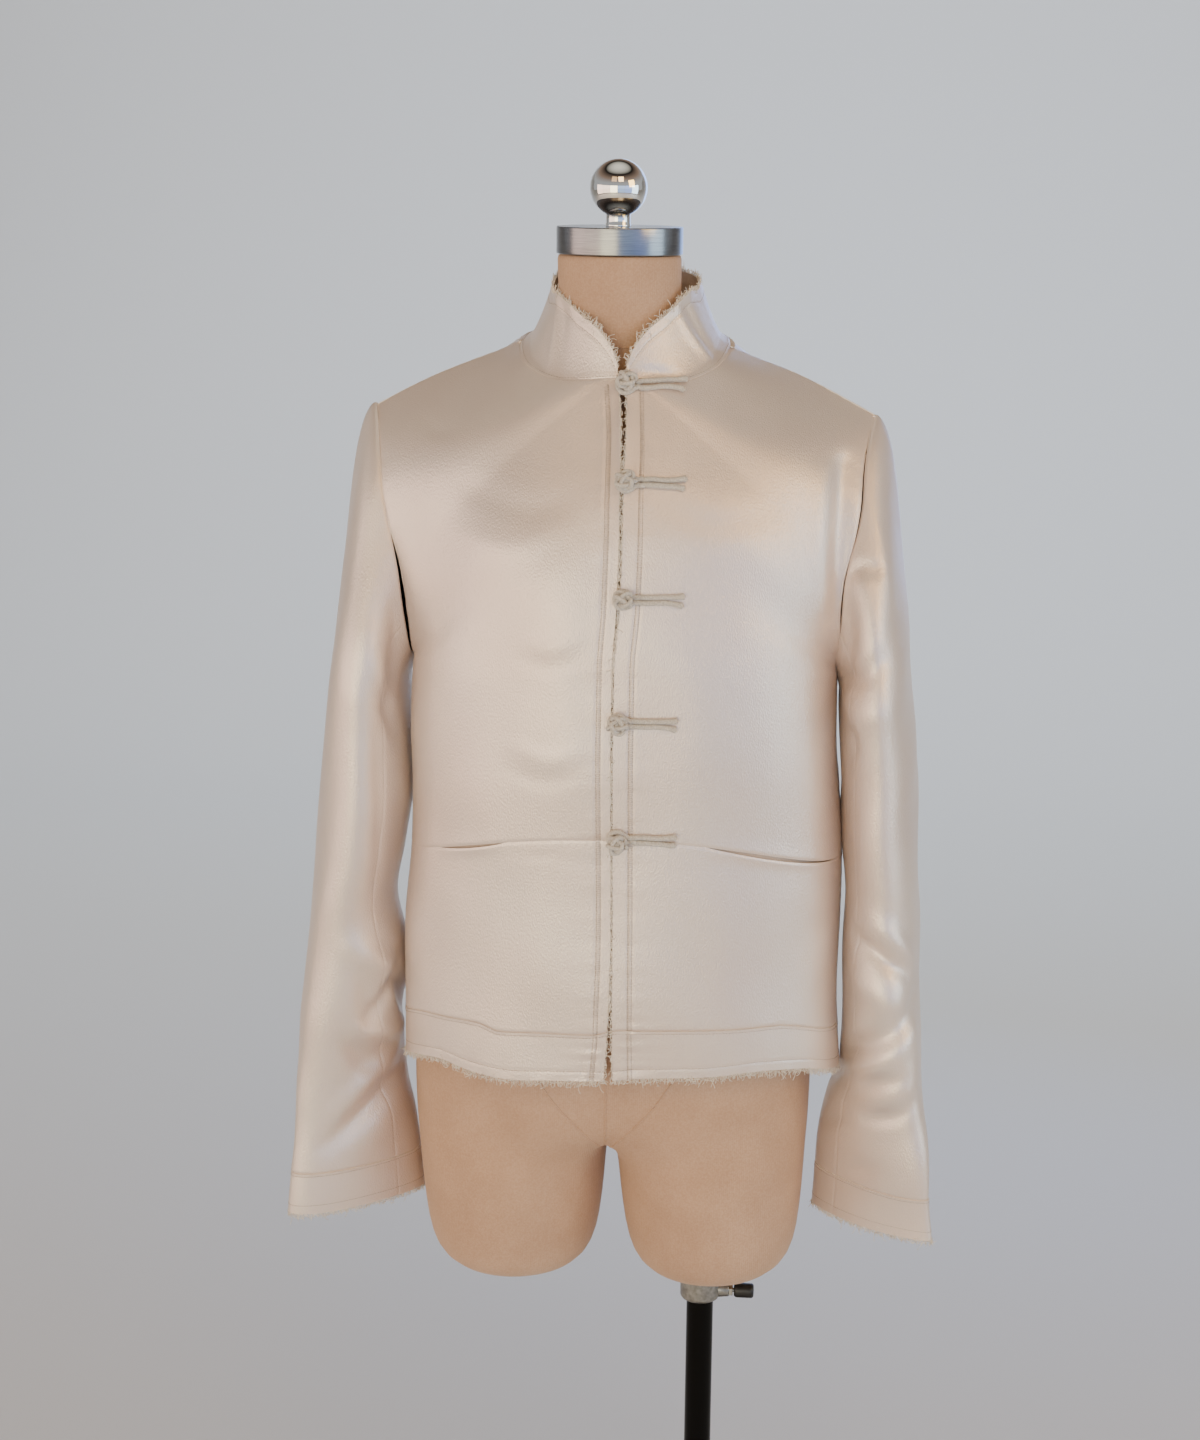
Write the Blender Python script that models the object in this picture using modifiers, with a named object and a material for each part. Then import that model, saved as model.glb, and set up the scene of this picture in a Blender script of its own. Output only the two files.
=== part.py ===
"""A cropped satin tang jacket on a limbless trouser form with its pole stand.

The jacket is made as it is cut: two front panels, each parted at a seam that holds a pocket, one
back, a hem band, two-piece sleeves with cuffs and a standing collar, closed by five knot buttons
and cord loops. Every piece is a thin wall. All outer faces are cells of one net, so seams share
their points, and each piece is then drawn back from its seams by half of SEAM_GAP.

Metres, +Z up, the front faces -Y. "right" and "left" are the wearer's, so right is at -X.
The origin is on the floor, below the middle of the body.
"""

import math

import bmesh
import bpy
import numpy as np
from mathutils import Matrix, Vector
from mathutils.bvhtree import BVHTree

# Cloth
CLOTH = 0.0020
SLEEVE_CLOTH = 0.0018
SEAM_GAP = 0.00052
CLEAR = 0.0004

# Rows of the body net, counted up from the hem, and its columns
BAND_ROW, POCKET_ROW, UNDERARM_ROW, NECK_ROW, SHOULDER_ROW = 2, 6, 11, 16, 22
BODY_COLUMNS = 13

# Rows and columns of the sleeve net
CAP_ROWS = 6
BICEP_Z = 1.125
FRONT_SEAM_COLUMN, BACK_SEAM_COLUMN = 3, 14
CUFF_SEAM_Z, CUFF_HEM_Z = 0.716, 0.681

# Collar
COLLAR_HEIGHT = 0.050
COLLAR_ROWS = 4

# Knot buttons and cord loops
KNOT_RADIUS = 0.0070
KNOT_STALK = 0.0030
CORD_RADIUS = 0.0023
TAIL_LENGTH = 0.047
CORD_ABOVE_CLOTH = CORD_RADIUS + 0.0008
KNOT_ABOVE_CLOTH = 2 * CORD_RADIUS + 0.0060
LOOP_SIDE_X, LOOP_TOP_Z = 0.0145, 1.3870

# Form and stand
FORM_X = -0.003
FORM_COLUMNS = 28
POLE_X = 0.076
POLE_RADIUS, POLE_BORE = 0.0116, 0.0100
POLE_TOP = 0.6195
ROD_RADIUS, ROD_BOTTOM, ROD_TOP = 0.0092, 0.25, 0.6936
SOCKET_RADIUS, SOCKET_TOP = 0.0097, 0.694
CLAMP_RADIUS, CLAMP_BOTTOM, CLAMP_TOP = 0.0172, 0.5895, 0.6215
SCREW_Z, SCREW_RADIUS = 0.5975, 0.0022
BOSS_RADIUS, BOSS_LENGTH = 0.0058, 0.0115
KNOB_RADIUS, KNOB_LENGTH = 0.0064, 0.0180
BASE_RADIUS, BASE_THICK, BASE_BEVEL = 0.190, 0.012, 0.003
HUB_RADIUS, HUB_TOP = 0.024, 0.050
CAP_RADIUS, CAP_BOTTOM, CAP_TOP = 0.0503, 1.4858, 1.5072
NECK_Y = -0.022
BALL_RADIUS, BALL_Z, BALL_X = 0.0228, 1.5373, -0.0043
STEM_RADIUS = 0.0100


def table(columns, *rows):
    """Rows of numbers under named columns; the first column is the key and rises."""
    return dict(zip(columns.split(), np.array(rows, float).T))


# Centre line of the front: the edge of the right panel, the edge of the left one, and the depth
CLOSURE = table(
    "z right_edge left_edge y",
    (0.8300, 0.0005, 0.0085, -0.1300),
    (0.8700, 0.0030, 0.0078, -0.1310),
    (0.9500, 0.0052, 0.0074, -0.1320),
    (1.0330, 0.0045, 0.0066, -0.1330),
    (1.1000, 0.0038, 0.0062, -0.1345),
    (1.1700, 0.0040, 0.0064, -0.1345),
    (1.2200, 0.0068, 0.0100, -0.1315),
    (1.2700, 0.0074, 0.0108, -0.1240),
    (1.3100, 0.0064, 0.0104, -0.1125),
    (1.3500, 0.0045, 0.0112, -0.0960),
    (1.3920, 0.0005, 0.0085, -0.0715),
)

# Centre line of the back
SPINE = table(
    "z y",
    (0.8180, 0.1180),
    (0.9500, 0.1200),
    (1.1000, 0.1215),
    (1.2000, 0.1195),
    (1.2700, 0.1140),
    (1.3300, 0.1010),
    (1.3800, 0.0845),
    (1.4255, 0.0620),
)

# Side seam: half the body's width, and how far the body hangs to the wearer's left
SIDE = table(
    "z half_width lean",
    (0.8150, 0.1835, 0.0060),
    (0.8700, 0.1826, 0.0055),
    (0.9400, 0.1811, 0.0060),
    (1.0000, 0.1788, 0.0075),
    (1.0500, 0.1767, 0.0063),
    (1.1000, 0.1753, 0.0038),
    (1.1520, 0.1745, 0.0037),
    (1.2500, 0.1827, 0.0030),
    (1.3610, 0.2035, 0.0000),
    (1.4300, 0.2035, 0.0000),
)

# Heights of the seams that run round the body, at the centre front, centre back and sides
LEVELS = table(
    "row front back side",
    (0, 0.8325, 0.8180, 0.8160),
    (BAND_ROW, 0.8725, 0.8575, 0.8520),
    (POCKET_ROW, 1.0330, 1.0030, 1.0000),
    (UNDERARM_ROW, 1.2130, 1.1900, 1.1520),
    (NECK_ROW, 1.3920, 1.4255, 1.3000),
)

# Neckline from centre front to shoulder seam, and on to centre back; x is half across
NECK_FRONT = table(
    "share x y z",
    (0.00, 0.0040, -0.0715, 1.3920),
    (0.13, 0.0180, -0.0700, 1.3905),
    (0.32, 0.0400, -0.0635, 1.3893),
    (0.45, 0.0540, -0.0560, 1.3905),
    (0.58, 0.0670, -0.0455, 1.3945),
    (0.70, 0.0775, -0.0320, 1.4005),
    (0.84, 0.0830, -0.0140, 1.4075),
    (1.00, 0.0856, 0.0080, 1.4137),
)
NECK_BACK = table(
    "share x y z",
    (0.00, 0.0000, 0.0620, 1.4255),
    (0.24, 0.0280, 0.0605, 1.4250),
    (0.46, 0.0530, 0.0560, 1.4235),
    (0.65, 0.0720, 0.0460, 1.4210),
    (0.83, 0.0830, 0.0300, 1.4180),
    (1.00, 0.0856, 0.0080, 1.4137),
)
NECK_FRONT_ROWS = (0.0, 0.055, 0.14, 0.28, 0.50, 0.75, 1.0)
NECK_BACK_ROWS = (0.0, 0.19, 0.37, 0.54, 0.70, 0.86, 1.0)

# Height of the collar along the neckline from either front edge; it is level from the last row on
COLLAR_TOP = table(
    "run height",
    (0.000, 0.0100),
    (0.004, 0.0210),
    (0.010, 0.0297),
    (0.020, 0.0400),
    (0.040, 0.0515),
    (0.060, 0.0590),
    (0.080, 0.0605),
    (0.100, 0.0550),
    (0.118, 0.0505),
    (0.160, COLLAR_HEIGHT),
)

# Armhole from the underarm up to the shoulder tip
ARMHOLE_FRONT = table(
    "share x y z",
    (0.00, 0.1745, 0.0000, 1.1520),
    (0.11, 0.1740, -0.0260, 1.1620),
    (0.20, 0.1748, -0.0430, 1.1820),
    (0.30, 0.1765, -0.0530, 1.2050),
    (0.39, 0.1790, -0.0560, 1.2280),
    (0.48, 0.1827, -0.0550, 1.2480),
    (0.58, 0.1880, -0.0510, 1.2700),
    (0.70, 0.1926, -0.0450, 1.2950),
    (0.81, 0.1950, -0.0340, 1.3190),
    (0.91, 0.1985, -0.0180, 1.3415),
    (1.00, 0.2035, 0.0050, 1.3610),
)
ARMHOLE_BACK = table(
    "share x y z",
    (0.00, 0.1745, 0.0000, 1.1520),
    (0.14, 0.1760, 0.0350, 1.1650),
    (0.25, 0.1800, 0.0530, 1.1900),
    (0.36, 0.1840, 0.0610, 1.2150),
    (0.47, 0.1880, 0.0630, 1.2400),
    (0.59, 0.1920, 0.0600, 1.2680),
    (0.71, 0.1950, 0.0530, 1.2950),
    (0.83, 0.1970, 0.0420, 1.3200),
    (0.93, 0.1995, 0.0260, 1.3420),
    (1.00, 0.2035, 0.0050, 1.3610),
)
ARMHOLE_CROWDING = 1.12

# How each row of the body runs from the middle to the side: the arc of the section that it
# covers, in degrees, how late it drops, how far it swells out, and how full the section is
FRONT_ROWS = table(
    "row start end drop swell fullness",
    (0, 0, 90, 7.0, 0.0000, 2.5),
    (BAND_ROW, 0, 90, 5.0, 0.0000, 2.5),
    (POCKET_ROW, 0, 90, 2.2, 0.0000, 2.5),
    (UNDERARM_ROW, 0, 90, 2.0, 0.0000, 2.4),
    (13, 0, 77, 1.7, 0.0050, 2.3),
    (NECK_ROW, 0, 64, 1.15, 0.0225, 2.3),
    (17, 6, 63, 1.3, 0.0195, 2.2),
    (19, 17, 60, 1.2, 0.0120, 2.1),
    (SHOULDER_ROW, 33, 56, 1.0, 0.0000, 2.0),
)
BACK_ROWS = table(
    "row start end drop swell fullness",
    (0, 0, 90, 2.0, 0.0000, 2.4),
    (UNDERARM_ROW, 0, 90, 2.0, 0.0000, 2.4),
    (13, 0, 78, 1.7, 0.0050, 2.3),
    (NECK_ROW, 0, 66, 1.4, 0.0190, 2.3),
    (19, 20, 60, 1.15, 0.0100, 2.1),
    (SHOULDER_ROW, 33, 56, 1.0, 0.0000, 2.0),
)
SHOULDER_BOW = 0.0030

# Sleeves from the upper arm to the hem: how far the inner and outer sides are from the middle of
# the body, the middle of the tube, its depth, and the skew that turns its flat towards the front
RIGHT_SLEEVE = table(
    "z inner outer y depth skew",
    (0.676, 0.1670, 0.2712, -0.0280, 0.088, 57),
    (0.716, 0.1698, 0.2697, -0.0270, 0.090, 53),
    (0.750, 0.1735, 0.2687, -0.0250, 0.094, 47),
    (0.785, 0.1810, 0.2687, -0.0230, 0.101, 38),
    (0.820, 0.1846, 0.2668, -0.0200, 0.110, 28),
    (0.850, 0.1835, 0.2655, -0.0180, 0.118, 20),
    (0.880, 0.1812, 0.2625, -0.0160, 0.124, 14),
    (0.910, 0.1815, 0.2602, -0.0140, 0.130, 9),
    (0.950, 0.1868, 0.2570, -0.0120, 0.138, 4),
    (0.995, 0.1800, 0.2530, -0.0090, 0.147, 0),
    (1.050, 0.1738, 0.2475, -0.0060, 0.157, 0),
    (BICEP_Z, 0.1746, 0.2410, -0.0040, 0.164, 0),
)
LEFT_SLEEVE = table(
    "z inner outer y depth skew",
    (0.676, 0.1688, 0.2745, -0.0280, 0.088, 57),
    (0.716, 0.1722, 0.2705, -0.0270, 0.090, 53),
    (0.750, 0.1752, 0.2678, -0.0250, 0.094, 46),
    (0.785, 0.1812, 0.2645, -0.0225, 0.100, 37),
    (0.815, 0.1900, 0.2612, -0.0220, 0.108, 26),
    (0.850, 0.1915, 0.2583, -0.0200, 0.117, 17),
    (0.900, 0.1906, 0.2555, -0.0150, 0.127, 8),
    (0.960, 0.1904, 0.2528, -0.0110, 0.138, 2),
    (1.020, 0.1875, 0.2500, -0.0080, 0.150, 0),
    (1.070, 0.1850, 0.2470, -0.0050, 0.158, 0),
    (BICEP_Z, 0.1830, 0.2412, -0.0040, 0.164, 0),
)
CAP_START = 0.064

# Where the pocket opens in the seam across each front, from its inner to its outer end, and how
# far the lower lip sags
POCKETS = {"right": (-0.080, -0.137, 0.0034), "left": (0.080, 0.183, 0.0054)}
FACING_DEPTH = 0.035

# Knot buttons, from the top
KNOTS = table("x z", (0.0070, 1.3860), (0.0112, 1.3140), (0.0122, 1.2260), (0.0094, 1.1290), (0.0098, 1.0350))

# The form: sections of the trunk, and of each thigh about its own middle
TRUNK = table(
    "z half_width front back fullness",
    (0.765, 0.1685, -0.102, 0.109, 2.3),
    (0.800, 0.1695, -0.107, 0.113, 2.3),
    (0.850, 0.1670, -0.110, 0.1140, 2.3),
    (0.900, 0.1580, -0.108, 0.1090, 2.3),
    (0.950, 0.1440, -0.104, 0.0970, 2.2),
    (1.000, 0.1300, -0.098, 0.0860, 2.1),
    (1.045, 0.1245, -0.095, 0.0820, 2.1),
    (1.100, 0.1340, -0.103, 0.0860, 2.1),
    (1.150, 0.1460, -0.116, 0.0930, 2.2),
    (1.200, 0.1560, -0.120, 0.1000, 2.3),
    (1.250, 0.1660, -0.111, 0.1010, 2.3),
    (1.290, 0.1740, -0.098, 0.0950, 2.3),
    (1.325, 0.1790, -0.086, 0.0880, 2.2),
    (1.345, 0.1780, -0.074, 0.0820, 2.05),
    (1.355, 0.1750, -0.067, 0.0780, 1.9),
    (1.366, 0.1670, -0.060, 0.0730, 1.65),
    (1.379, 0.1430, -0.054, 0.0660, 1.45),
    (1.390, 0.1160, -0.052, 0.0600, 1.40),
    (1.400, 0.0940, -0.052, 0.0550, 1.45),
    (1.410, 0.0750, -0.053, 0.0500, 1.60),
    (1.422, 0.0560, -0.054, 0.0410, 1.85),
    (1.440, 0.0480, -0.0575, 0.0360, 2.0),
    (1.455, 0.0492, -0.0635, 0.0335, 2.0),
    (1.4854, 0.0495, -0.0715, 0.0275, 2.0),
)
THIGH = table(
    "z middle half_width half_depth back_of_middle",
    (0.6225, 0.0790, 0.0200, 0.022, 0.000),
    (0.6232, 0.0805, 0.0430, 0.050, 0.000),
    (0.6290, 0.0825, 0.0590, 0.069, 0.000),
    (0.6410, 0.0835, 0.0690, 0.080, 0.000),
    (0.6630, 0.0840, 0.0750, 0.088, 0.001),
    (0.7000, 0.0845, 0.0790, 0.093, 0.002),
    (0.7340, 0.0850, 0.0812, 0.098, 0.003),
)
LEFT_THIGH_OUT = 0.0050
CLEFT_WIDTH, CLEFT_TOP = 0.045, 0.86
CLEFT_DEPTH = 0.024
CROTCH_Z = 0.7480


def smooth(rows, name, at):
    """Read a column at a key, along a curve that never swings past the rows."""
    x, y = next(iter(rows.values())), rows[name]
    slope = np.diff(y) / np.diff(x)
    tangent = np.concatenate([slope[:1], np.zeros(len(slope) - 1), slope[-1:]])
    same = slope[:-1] * slope[1:] > 0
    pair = slope[:-1] + slope[1:]
    tangent[1:-1][same] = 2 * (slope[:-1] * slope[1:])[same] / pair[same]
    i = int(np.clip(np.searchsorted(x, at) - 1, 0, len(x) - 2))
    width = x[i + 1] - x[i]
    t = min(max((at - x[i]) / width, 0.0), 1.0)
    start = (1 + 2 * t) * (1 - t) ** 2 * y[i] + t * (1 - t) ** 2 * width * tangent[i]
    return start + t**2 * (3 - 2 * t) * y[i + 1] + t**2 * (t - 1) * width * tangent[i + 1]


def curve_point(rows, share, side):
    """A point of a neckline or armhole table, on one side of the body."""
    x, y, z = (smooth(rows, name, share) for name in "xyz")
    return np.array([side * x + smooth(SIDE, "lean", z), y, z])


def inner_point(part, side, row):
    """Where a row of the body starts: the centre line, or the neckline above it."""
    if part == "front" and row < NECK_ROW:
        z = smooth(LEVELS, "front", row)
        edge = "left_edge" if side > 0 else "right_edge"
        return np.array([smooth(CLOSURE, edge, z), smooth(CLOSURE, "y", z), z])
    if part == "front":
        point = curve_point(NECK_FRONT, NECK_FRONT_ROWS[row - NECK_ROW], side)
        if row == NECK_ROW:
            point[0] = CLOSURE["left_edge" if side > 0 else "right_edge"][-1]
        return point
    if row < NECK_ROW:
        z = smooth(LEVELS, "back", row)
        return np.array([smooth(SIDE, "lean", z), smooth(SPINE, "y", z), z])
    return curve_point(NECK_BACK, NECK_BACK_ROWS[row - NECK_ROW], side)


def armhole_share(row):
    return ((row - UNDERARM_ROW) / (SHOULDER_ROW - UNDERARM_ROW)) ** ARMHOLE_CROWDING


def outer_point(part, side, row):
    """Where a row of the body ends: the side seam, or the armhole above it."""
    if row > UNDERARM_ROW:
        armhole = ARMHOLE_FRONT if part == "front" else ARMHOLE_BACK
        return curve_point(armhole, armhole_share(row), side)
    z = smooth(LEVELS, "side", row)
    return np.array([side * smooth(SIDE, "half_width", z) + smooth(SIDE, "lean", z), 0.0, z])


def body_row(part, side, row):
    """One row of the body's outer face, from the middle to the side."""
    rows = FRONT_ROWS if part == "front" else BACK_ROWS
    start, end, drop, swell, fullness = (smooth(rows, name, row) for name in list(rows)[1:])
    inner, outer = inner_point(part, side, row), outer_point(part, side, row)
    angle = np.radians(np.linspace(start, end, BODY_COLUMNS + 1))
    across = np.sin(angle) ** (2 / fullness)
    depth = np.clip(np.cos(angle), 0, 1) ** (2 / fullness)
    out = (across - across[0]) / (across[-1] - across[0])
    back = (depth - depth[-1]) / (depth[0] - depth[-1])
    x = inner[0] + (outer[0] - inner[0]) * out
    y = outer[1] + (inner[1] - outer[1]) * back
    y += (-1 if part == "front" else 1) * swell * np.sin(np.pi * out**1.25)
    z = inner[2] + (outer[2] - inner[2]) * out**drop
    if row == SHOULDER_ROW:
        z += SHOULDER_BOW * np.sin(np.pi * out)
    return np.stack([x, y, z], axis=1)


def body_grid(part, side):
    grid = np.array([body_row(part, side, row) for row in range(SHOULDER_ROW + 1)])
    grid[-1, :, 1] = np.linspace(grid[-1, 0, 1], grid[-1, -1, 1], BODY_COLUMNS + 1)
    return grid


def armhole_ring(front, back):
    """Armhole points from the underarm up the front to the tip and down the back."""
    rising = [front[row, -1] for row in range(UNDERARM_ROW, SHOULDER_ROW + 1)]
    falling = [back[row, -1] for row in range(SHOULDER_ROW - 1, UNDERARM_ROW, -1)]
    return np.array(rising + falling)


def sleeve_ring(rows, side, z, columns):
    """A level ring of the sleeve, starting at the body side and running by way of the front."""
    inner, outer, middle_y, depth, skew = (smooth(rows, name, z) for name in list(rows)[1:])
    angle = 2 * np.pi * np.arange(columns) / columns
    x = (inner + outer) / 2 - (outer - inner) / 2 * np.cos(angle)
    y = middle_y - depth / 2 * np.sin(angle - math.radians(skew))
    return np.stack([side * x, y, np.full(columns, z)], axis=1)


def sleeve_grid(rows, side, armhole):
    """The sleeve's outer face, rows from the armhole down to the hem; returns its cuff row."""
    columns = len(armhole)
    angle = 2 * np.pi * np.arange(columns) / columns
    top, below = (sleeve_ring(rows, side, z, columns) for z in (BICEP_Z, BICEP_Z - 0.01))
    fall = (below - top) / 0.01
    out = np.stack(
        [side * (0.65 - 0.35 * np.cos(angle)), -0.6 * np.sin(angle), -0.65 - 0.35 * np.cos(angle)],
        axis=1,
    )
    reach = (armhole[:, 2] - BICEP_Z)[:, None]
    grid = []
    for t in np.arange(CAP_ROWS) / CAP_ROWS:
        start = (1 + 2 * t) * (1 - t) ** 2 * armhole + t * (1 - t) ** 2 * CAP_START * out
        end = t**2 * (3 - 2 * t) * top + t**2 * (t - 1) * reach * fall
        grid.append(start + end)
    arm = np.linspace(BICEP_Z, CUFF_SEAM_Z, 14)
    heights = list(arm) + [(CUFF_SEAM_Z + CUFF_HEM_Z) / 2, CUFF_HEM_Z]
    grid += [sleeve_ring(rows, side, z, columns) for z in heights]
    return np.array(grid), CAP_ROWS + len(arm) - 1


class Net:
    """The garment's outer face: cells that share their seam points, grouped by cut piece."""

    def __init__(self):
        self.points, self.known, self.pieces = [], {}, {}

    def vertex(self, point):
        key = tuple(np.round(point, 6))
        if key not in self.known:
            self.known[key] = len(self.points)
            self.points.append(np.array(point, float))
        return self.known[key]

    def add(self, piece, grid, flip=False):
        """Add a grid of rows and columns; flip where rows x columns would face inwards."""
        ids = np.array([[self.vertex(p) for p in row] for row in grid])
        cells = self.pieces.setdefault(piece, [])
        for r in range(len(ids) - 1):
            for c in range(ids.shape[1] - 1):
                cell = [ids[r, c], ids[r, c + 1], ids[r + 1, c + 1], ids[r + 1, c]]
                cell = list(dict.fromkeys(cell))
                if len(cell) > 2:
                    cells.append(cell[::-1] if flip else cell)

    def normals(self):
        points = np.array(self.points)
        total = np.zeros_like(points)
        for cells in self.pieces.values():
            for cell in cells:
                a, b, c, d = points[cell[0]], points[cell[1]], points[cell[2]], points[cell[-1]]
                total[cell] += np.cross(c - a, d - b) if len(cell) == 4 else np.cross(b - a, c - a)
        return total / np.linalg.norm(total, axis=1)[:, None]


def outline(cells):
    """The directed edges of a piece that no other of its cells shares."""
    edges = {(a, b) for cell in cells for a, b in zip(cell, cell[1:] + cell[:1])}
    return [(a, b) for a, b in edges if (b, a) not in edges]


def wall(points, normals, cells, thick, gap=SEAM_GAP / 2):
    """Close a piece of the net into a wall, drawn back from its outline by the gap."""
    inward = {}
    for a, b in sorted(outline(cells)):
        along = points[b] - points[a]
        for end in (a, b):
            side = np.cross(normals[end], along)
            inward.setdefault(end, []).append(side / np.linalg.norm(side))
    used = sorted({v for cell in cells for v in cell})
    index = {v: i for i, v in enumerate(used)}
    outer = points[used].copy()
    for v, sides in inward.items():
        first, last = sides[0], sides[-1]
        outer[index[v]] += gap * (first + last) / max(1 + first @ last, 0.5)
    inner = outer - thick * normals[used]
    count = len(used)
    faces = [[index[v] for v in cell] for cell in cells]
    faces += [[index[v] + count for v in cell[::-1]] for cell in cells]
    faces += [[index[b], index[a], index[a] + count, index[b] + count] for a, b in outline(cells)]
    return np.concatenate([outer, inner]), faces


def material(name, colour, roughness, metallic=0.0):
    made = bpy.data.materials.new(name)
    made.use_nodes = True
    shader = made.node_tree.nodes["Principled BSDF"]
    shader.inputs["Base Color"].default_value = (*colour, 1.0)
    shader.inputs["Roughness"].default_value = roughness
    shader.inputs["Metallic"].default_value = metallic
    return made


def place(name, mesh, made):
    obj = bpy.data.objects.new(name, mesh)
    mesh.materials.clear()
    mesh.materials.append(made)
    mesh.shade_smooth()
    mesh.set_sharp_from_angle(angle=math.radians(50))
    COLLECTION.objects.link(obj)
    return obj


def mesh_of(name, points, faces):
    mesh = bpy.data.meshes.new(name)
    mesh.from_pydata([tuple(p) for p in points], [], [list(map(int, f)) for f in faces])
    return mesh


def turned(name, profile, centre, made, steps=32, axis="Z", close=False):
    """A solid turned from a profile of (radius, height) that runs down its outer side."""
    mesh = bpy.data.meshes.new(name)
    pairs = [(i, i + 1) for i in range(len(profile) - 1)]
    if close:
        pairs.append((len(profile) - 1, 0))
    mesh.from_pydata([(r, 0.0, h) for r, h in profile], pairs, [])
    obj = place(name, mesh, made)
    screw = obj.modifiers.new("Turn", "SCREW")
    screw.steps = screw.render_steps = steps
    screw.use_merge_vertices = True
    screw.merge_threshold = 0.00002
    obj.location = centre
    if axis == "X":
        obj.rotation_euler = (0.0, math.pi / 2, 0.0)
    return obj


def cutter(name, radius, bottom, top, centre, axis="Z"):
    made = bmesh.new()
    bmesh.ops.create_cone(
        made, cap_ends=True, segments=20, radius1=radius, radius2=radius, depth=top - bottom
    )
    mesh = bpy.data.meshes.new(name)
    made.to_mesh(mesh)
    made.free()
    obj = bpy.data.objects.new(name, mesh)
    middle = (bottom + top) / 2
    obj.location = (centre[0], centre[1], middle) if axis == "Z" else (middle, *centre)
    obj.rotation_euler = (0.0, 0.0, 0.0) if axis == "Z" else (0.0, math.pi / 2, 0.0)
    obj.hide_render = True
    obj.display_type = "WIRE"
    CUTTERS.objects.link(obj)
    return obj


def cut(obj, tool):
    boolean = obj.modifiers.new("Bore", "BOOLEAN")
    boolean.object = tool
    boolean.operation = "DIFFERENCE"


def pocket_lip(side_name, grid):
    """The lower panel of a front, its top edge sagging where the pocket opens."""
    start, end, sag = POCKETS[side_name]
    lower = grid[BAND_ROW : POCKET_ROW + 1].copy()
    share = (lower[-1, :, 0] - start) / (end - start)
    inside = (share > 0) & (share < 1)
    lower[-1, inside, 2] -= sag * np.sin(np.pi * share[inside]) ** 0.7
    return lower


def build_body(net):
    """Both fronts and the back, with their hem bands; returns the half grids."""
    halves = {}
    for side_name, side in (("right", -1), ("left", 1)):
        front, back = body_grid("front", side), body_grid("back", side)
        flip = side < 0
        net.add(f"hem_band_front_{side_name}", front[: BAND_ROW + 1], flip)
        net.add(f"front_{side_name}_lower", pocket_lip(side_name, front), flip)
        net.add(f"front_{side_name}_upper", front[POCKET_ROW:], flip)
        net.add("hem_band_back", back[: BAND_ROW + 1], not flip)
        net.add("back", back[BAND_ROW:], not flip)
        halves[side_name] = (front, back)
    return halves


def build_sleeves(net, halves):
    for side_name, side, rows in (("right", -1, RIGHT_SLEEVE), ("left", 1, LEFT_SLEEVE)):
        front, back = halves[side_name]
        grid, cuff = sleeve_grid(rows, side, armhole_ring(front, back))
        columns = grid.shape[1]
        top = list(range(FRONT_SEAM_COLUMN, BACK_SEAM_COLUMN + 1))
        under = [c % columns for c in range(BACK_SEAM_COLUMN, columns + FRONT_SEAM_COLUMN + 1)]
        for part, chosen in (("top", top), ("under", under)):
            net.add(f"sleeve_{part}_{side_name}", grid[: cuff + 1, chosen], side > 0)
            net.add(f"cuff_{part}_{side_name}", grid[cuff:, chosen], side > 0)


def collar_foot(halves):
    """The neckline as one run from the right front edge round the back to the left front edge."""
    run = []
    for side_name, order in (("right", 1), ("left", -1)):
        front, back = halves[side_name]
        half = [front[row, 0] for row in range(NECK_ROW, SHOULDER_ROW + 1)]
        half += [back[row, 0] for row in range(SHOULDER_ROW - 1, NECK_ROW - 1, -1)]
        run.append(half[::order])
    return np.array(run[0] + run[1][1:])


def build_collar(net, halves):
    foot = collar_foot(halves)
    length = np.concatenate([[0.0], np.cumsum(np.linalg.norm(np.diff(foot, axis=0), axis=1))])
    from_end = np.minimum(length, length[-1] - length)
    height = np.array([smooth(COLLAR_TOP, "height", run) for run in from_end])
    sideways = np.clip(np.abs(foot[:, 0]) / foot[:, 0].max(), 0, 1)
    inward = np.stack([-foot[:, 0], -(foot[:, 1] + 0.012), np.zeros(len(foot))], axis=1)
    inward /= np.linalg.norm(inward, axis=1)[:, None]
    lean = 0.006 + 0.0205 * sideways**1.6 + 0.012 * np.clip(foot[:, 1] / 0.062, 0, 1) * (1 - sideways)
    grid = []
    for share in np.linspace(0, 1, COLLAR_ROWS + 1):
        up = height * share
        inset = lean * np.clip(up / COLLAR_HEIGHT, 0, 1) ** 0.62
        rise = np.sqrt(np.clip(up**2 - (inset * 0.8) ** 2, (0.55 * up) ** 2, None))
        row = foot + inward * inset[:, None]
        row[:, 2] += rise
        grid.append(row)
    net.add("collar", np.array(grid), True)


def build_cloth(made):
    net = Net()
    halves = build_body(net)
    build_sleeves(net, halves)
    build_collar(net, halves)
    points, normals = np.array(net.points), net.normals()
    for piece, cells in net.pieces.items():
        thick = SLEEVE_CLOTH if piece.startswith(("sleeve", "cuff")) else CLOTH
        place(piece, mesh_of(piece, *wall(points, normals, cells, thick)), made)
    return net, points, halves


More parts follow.
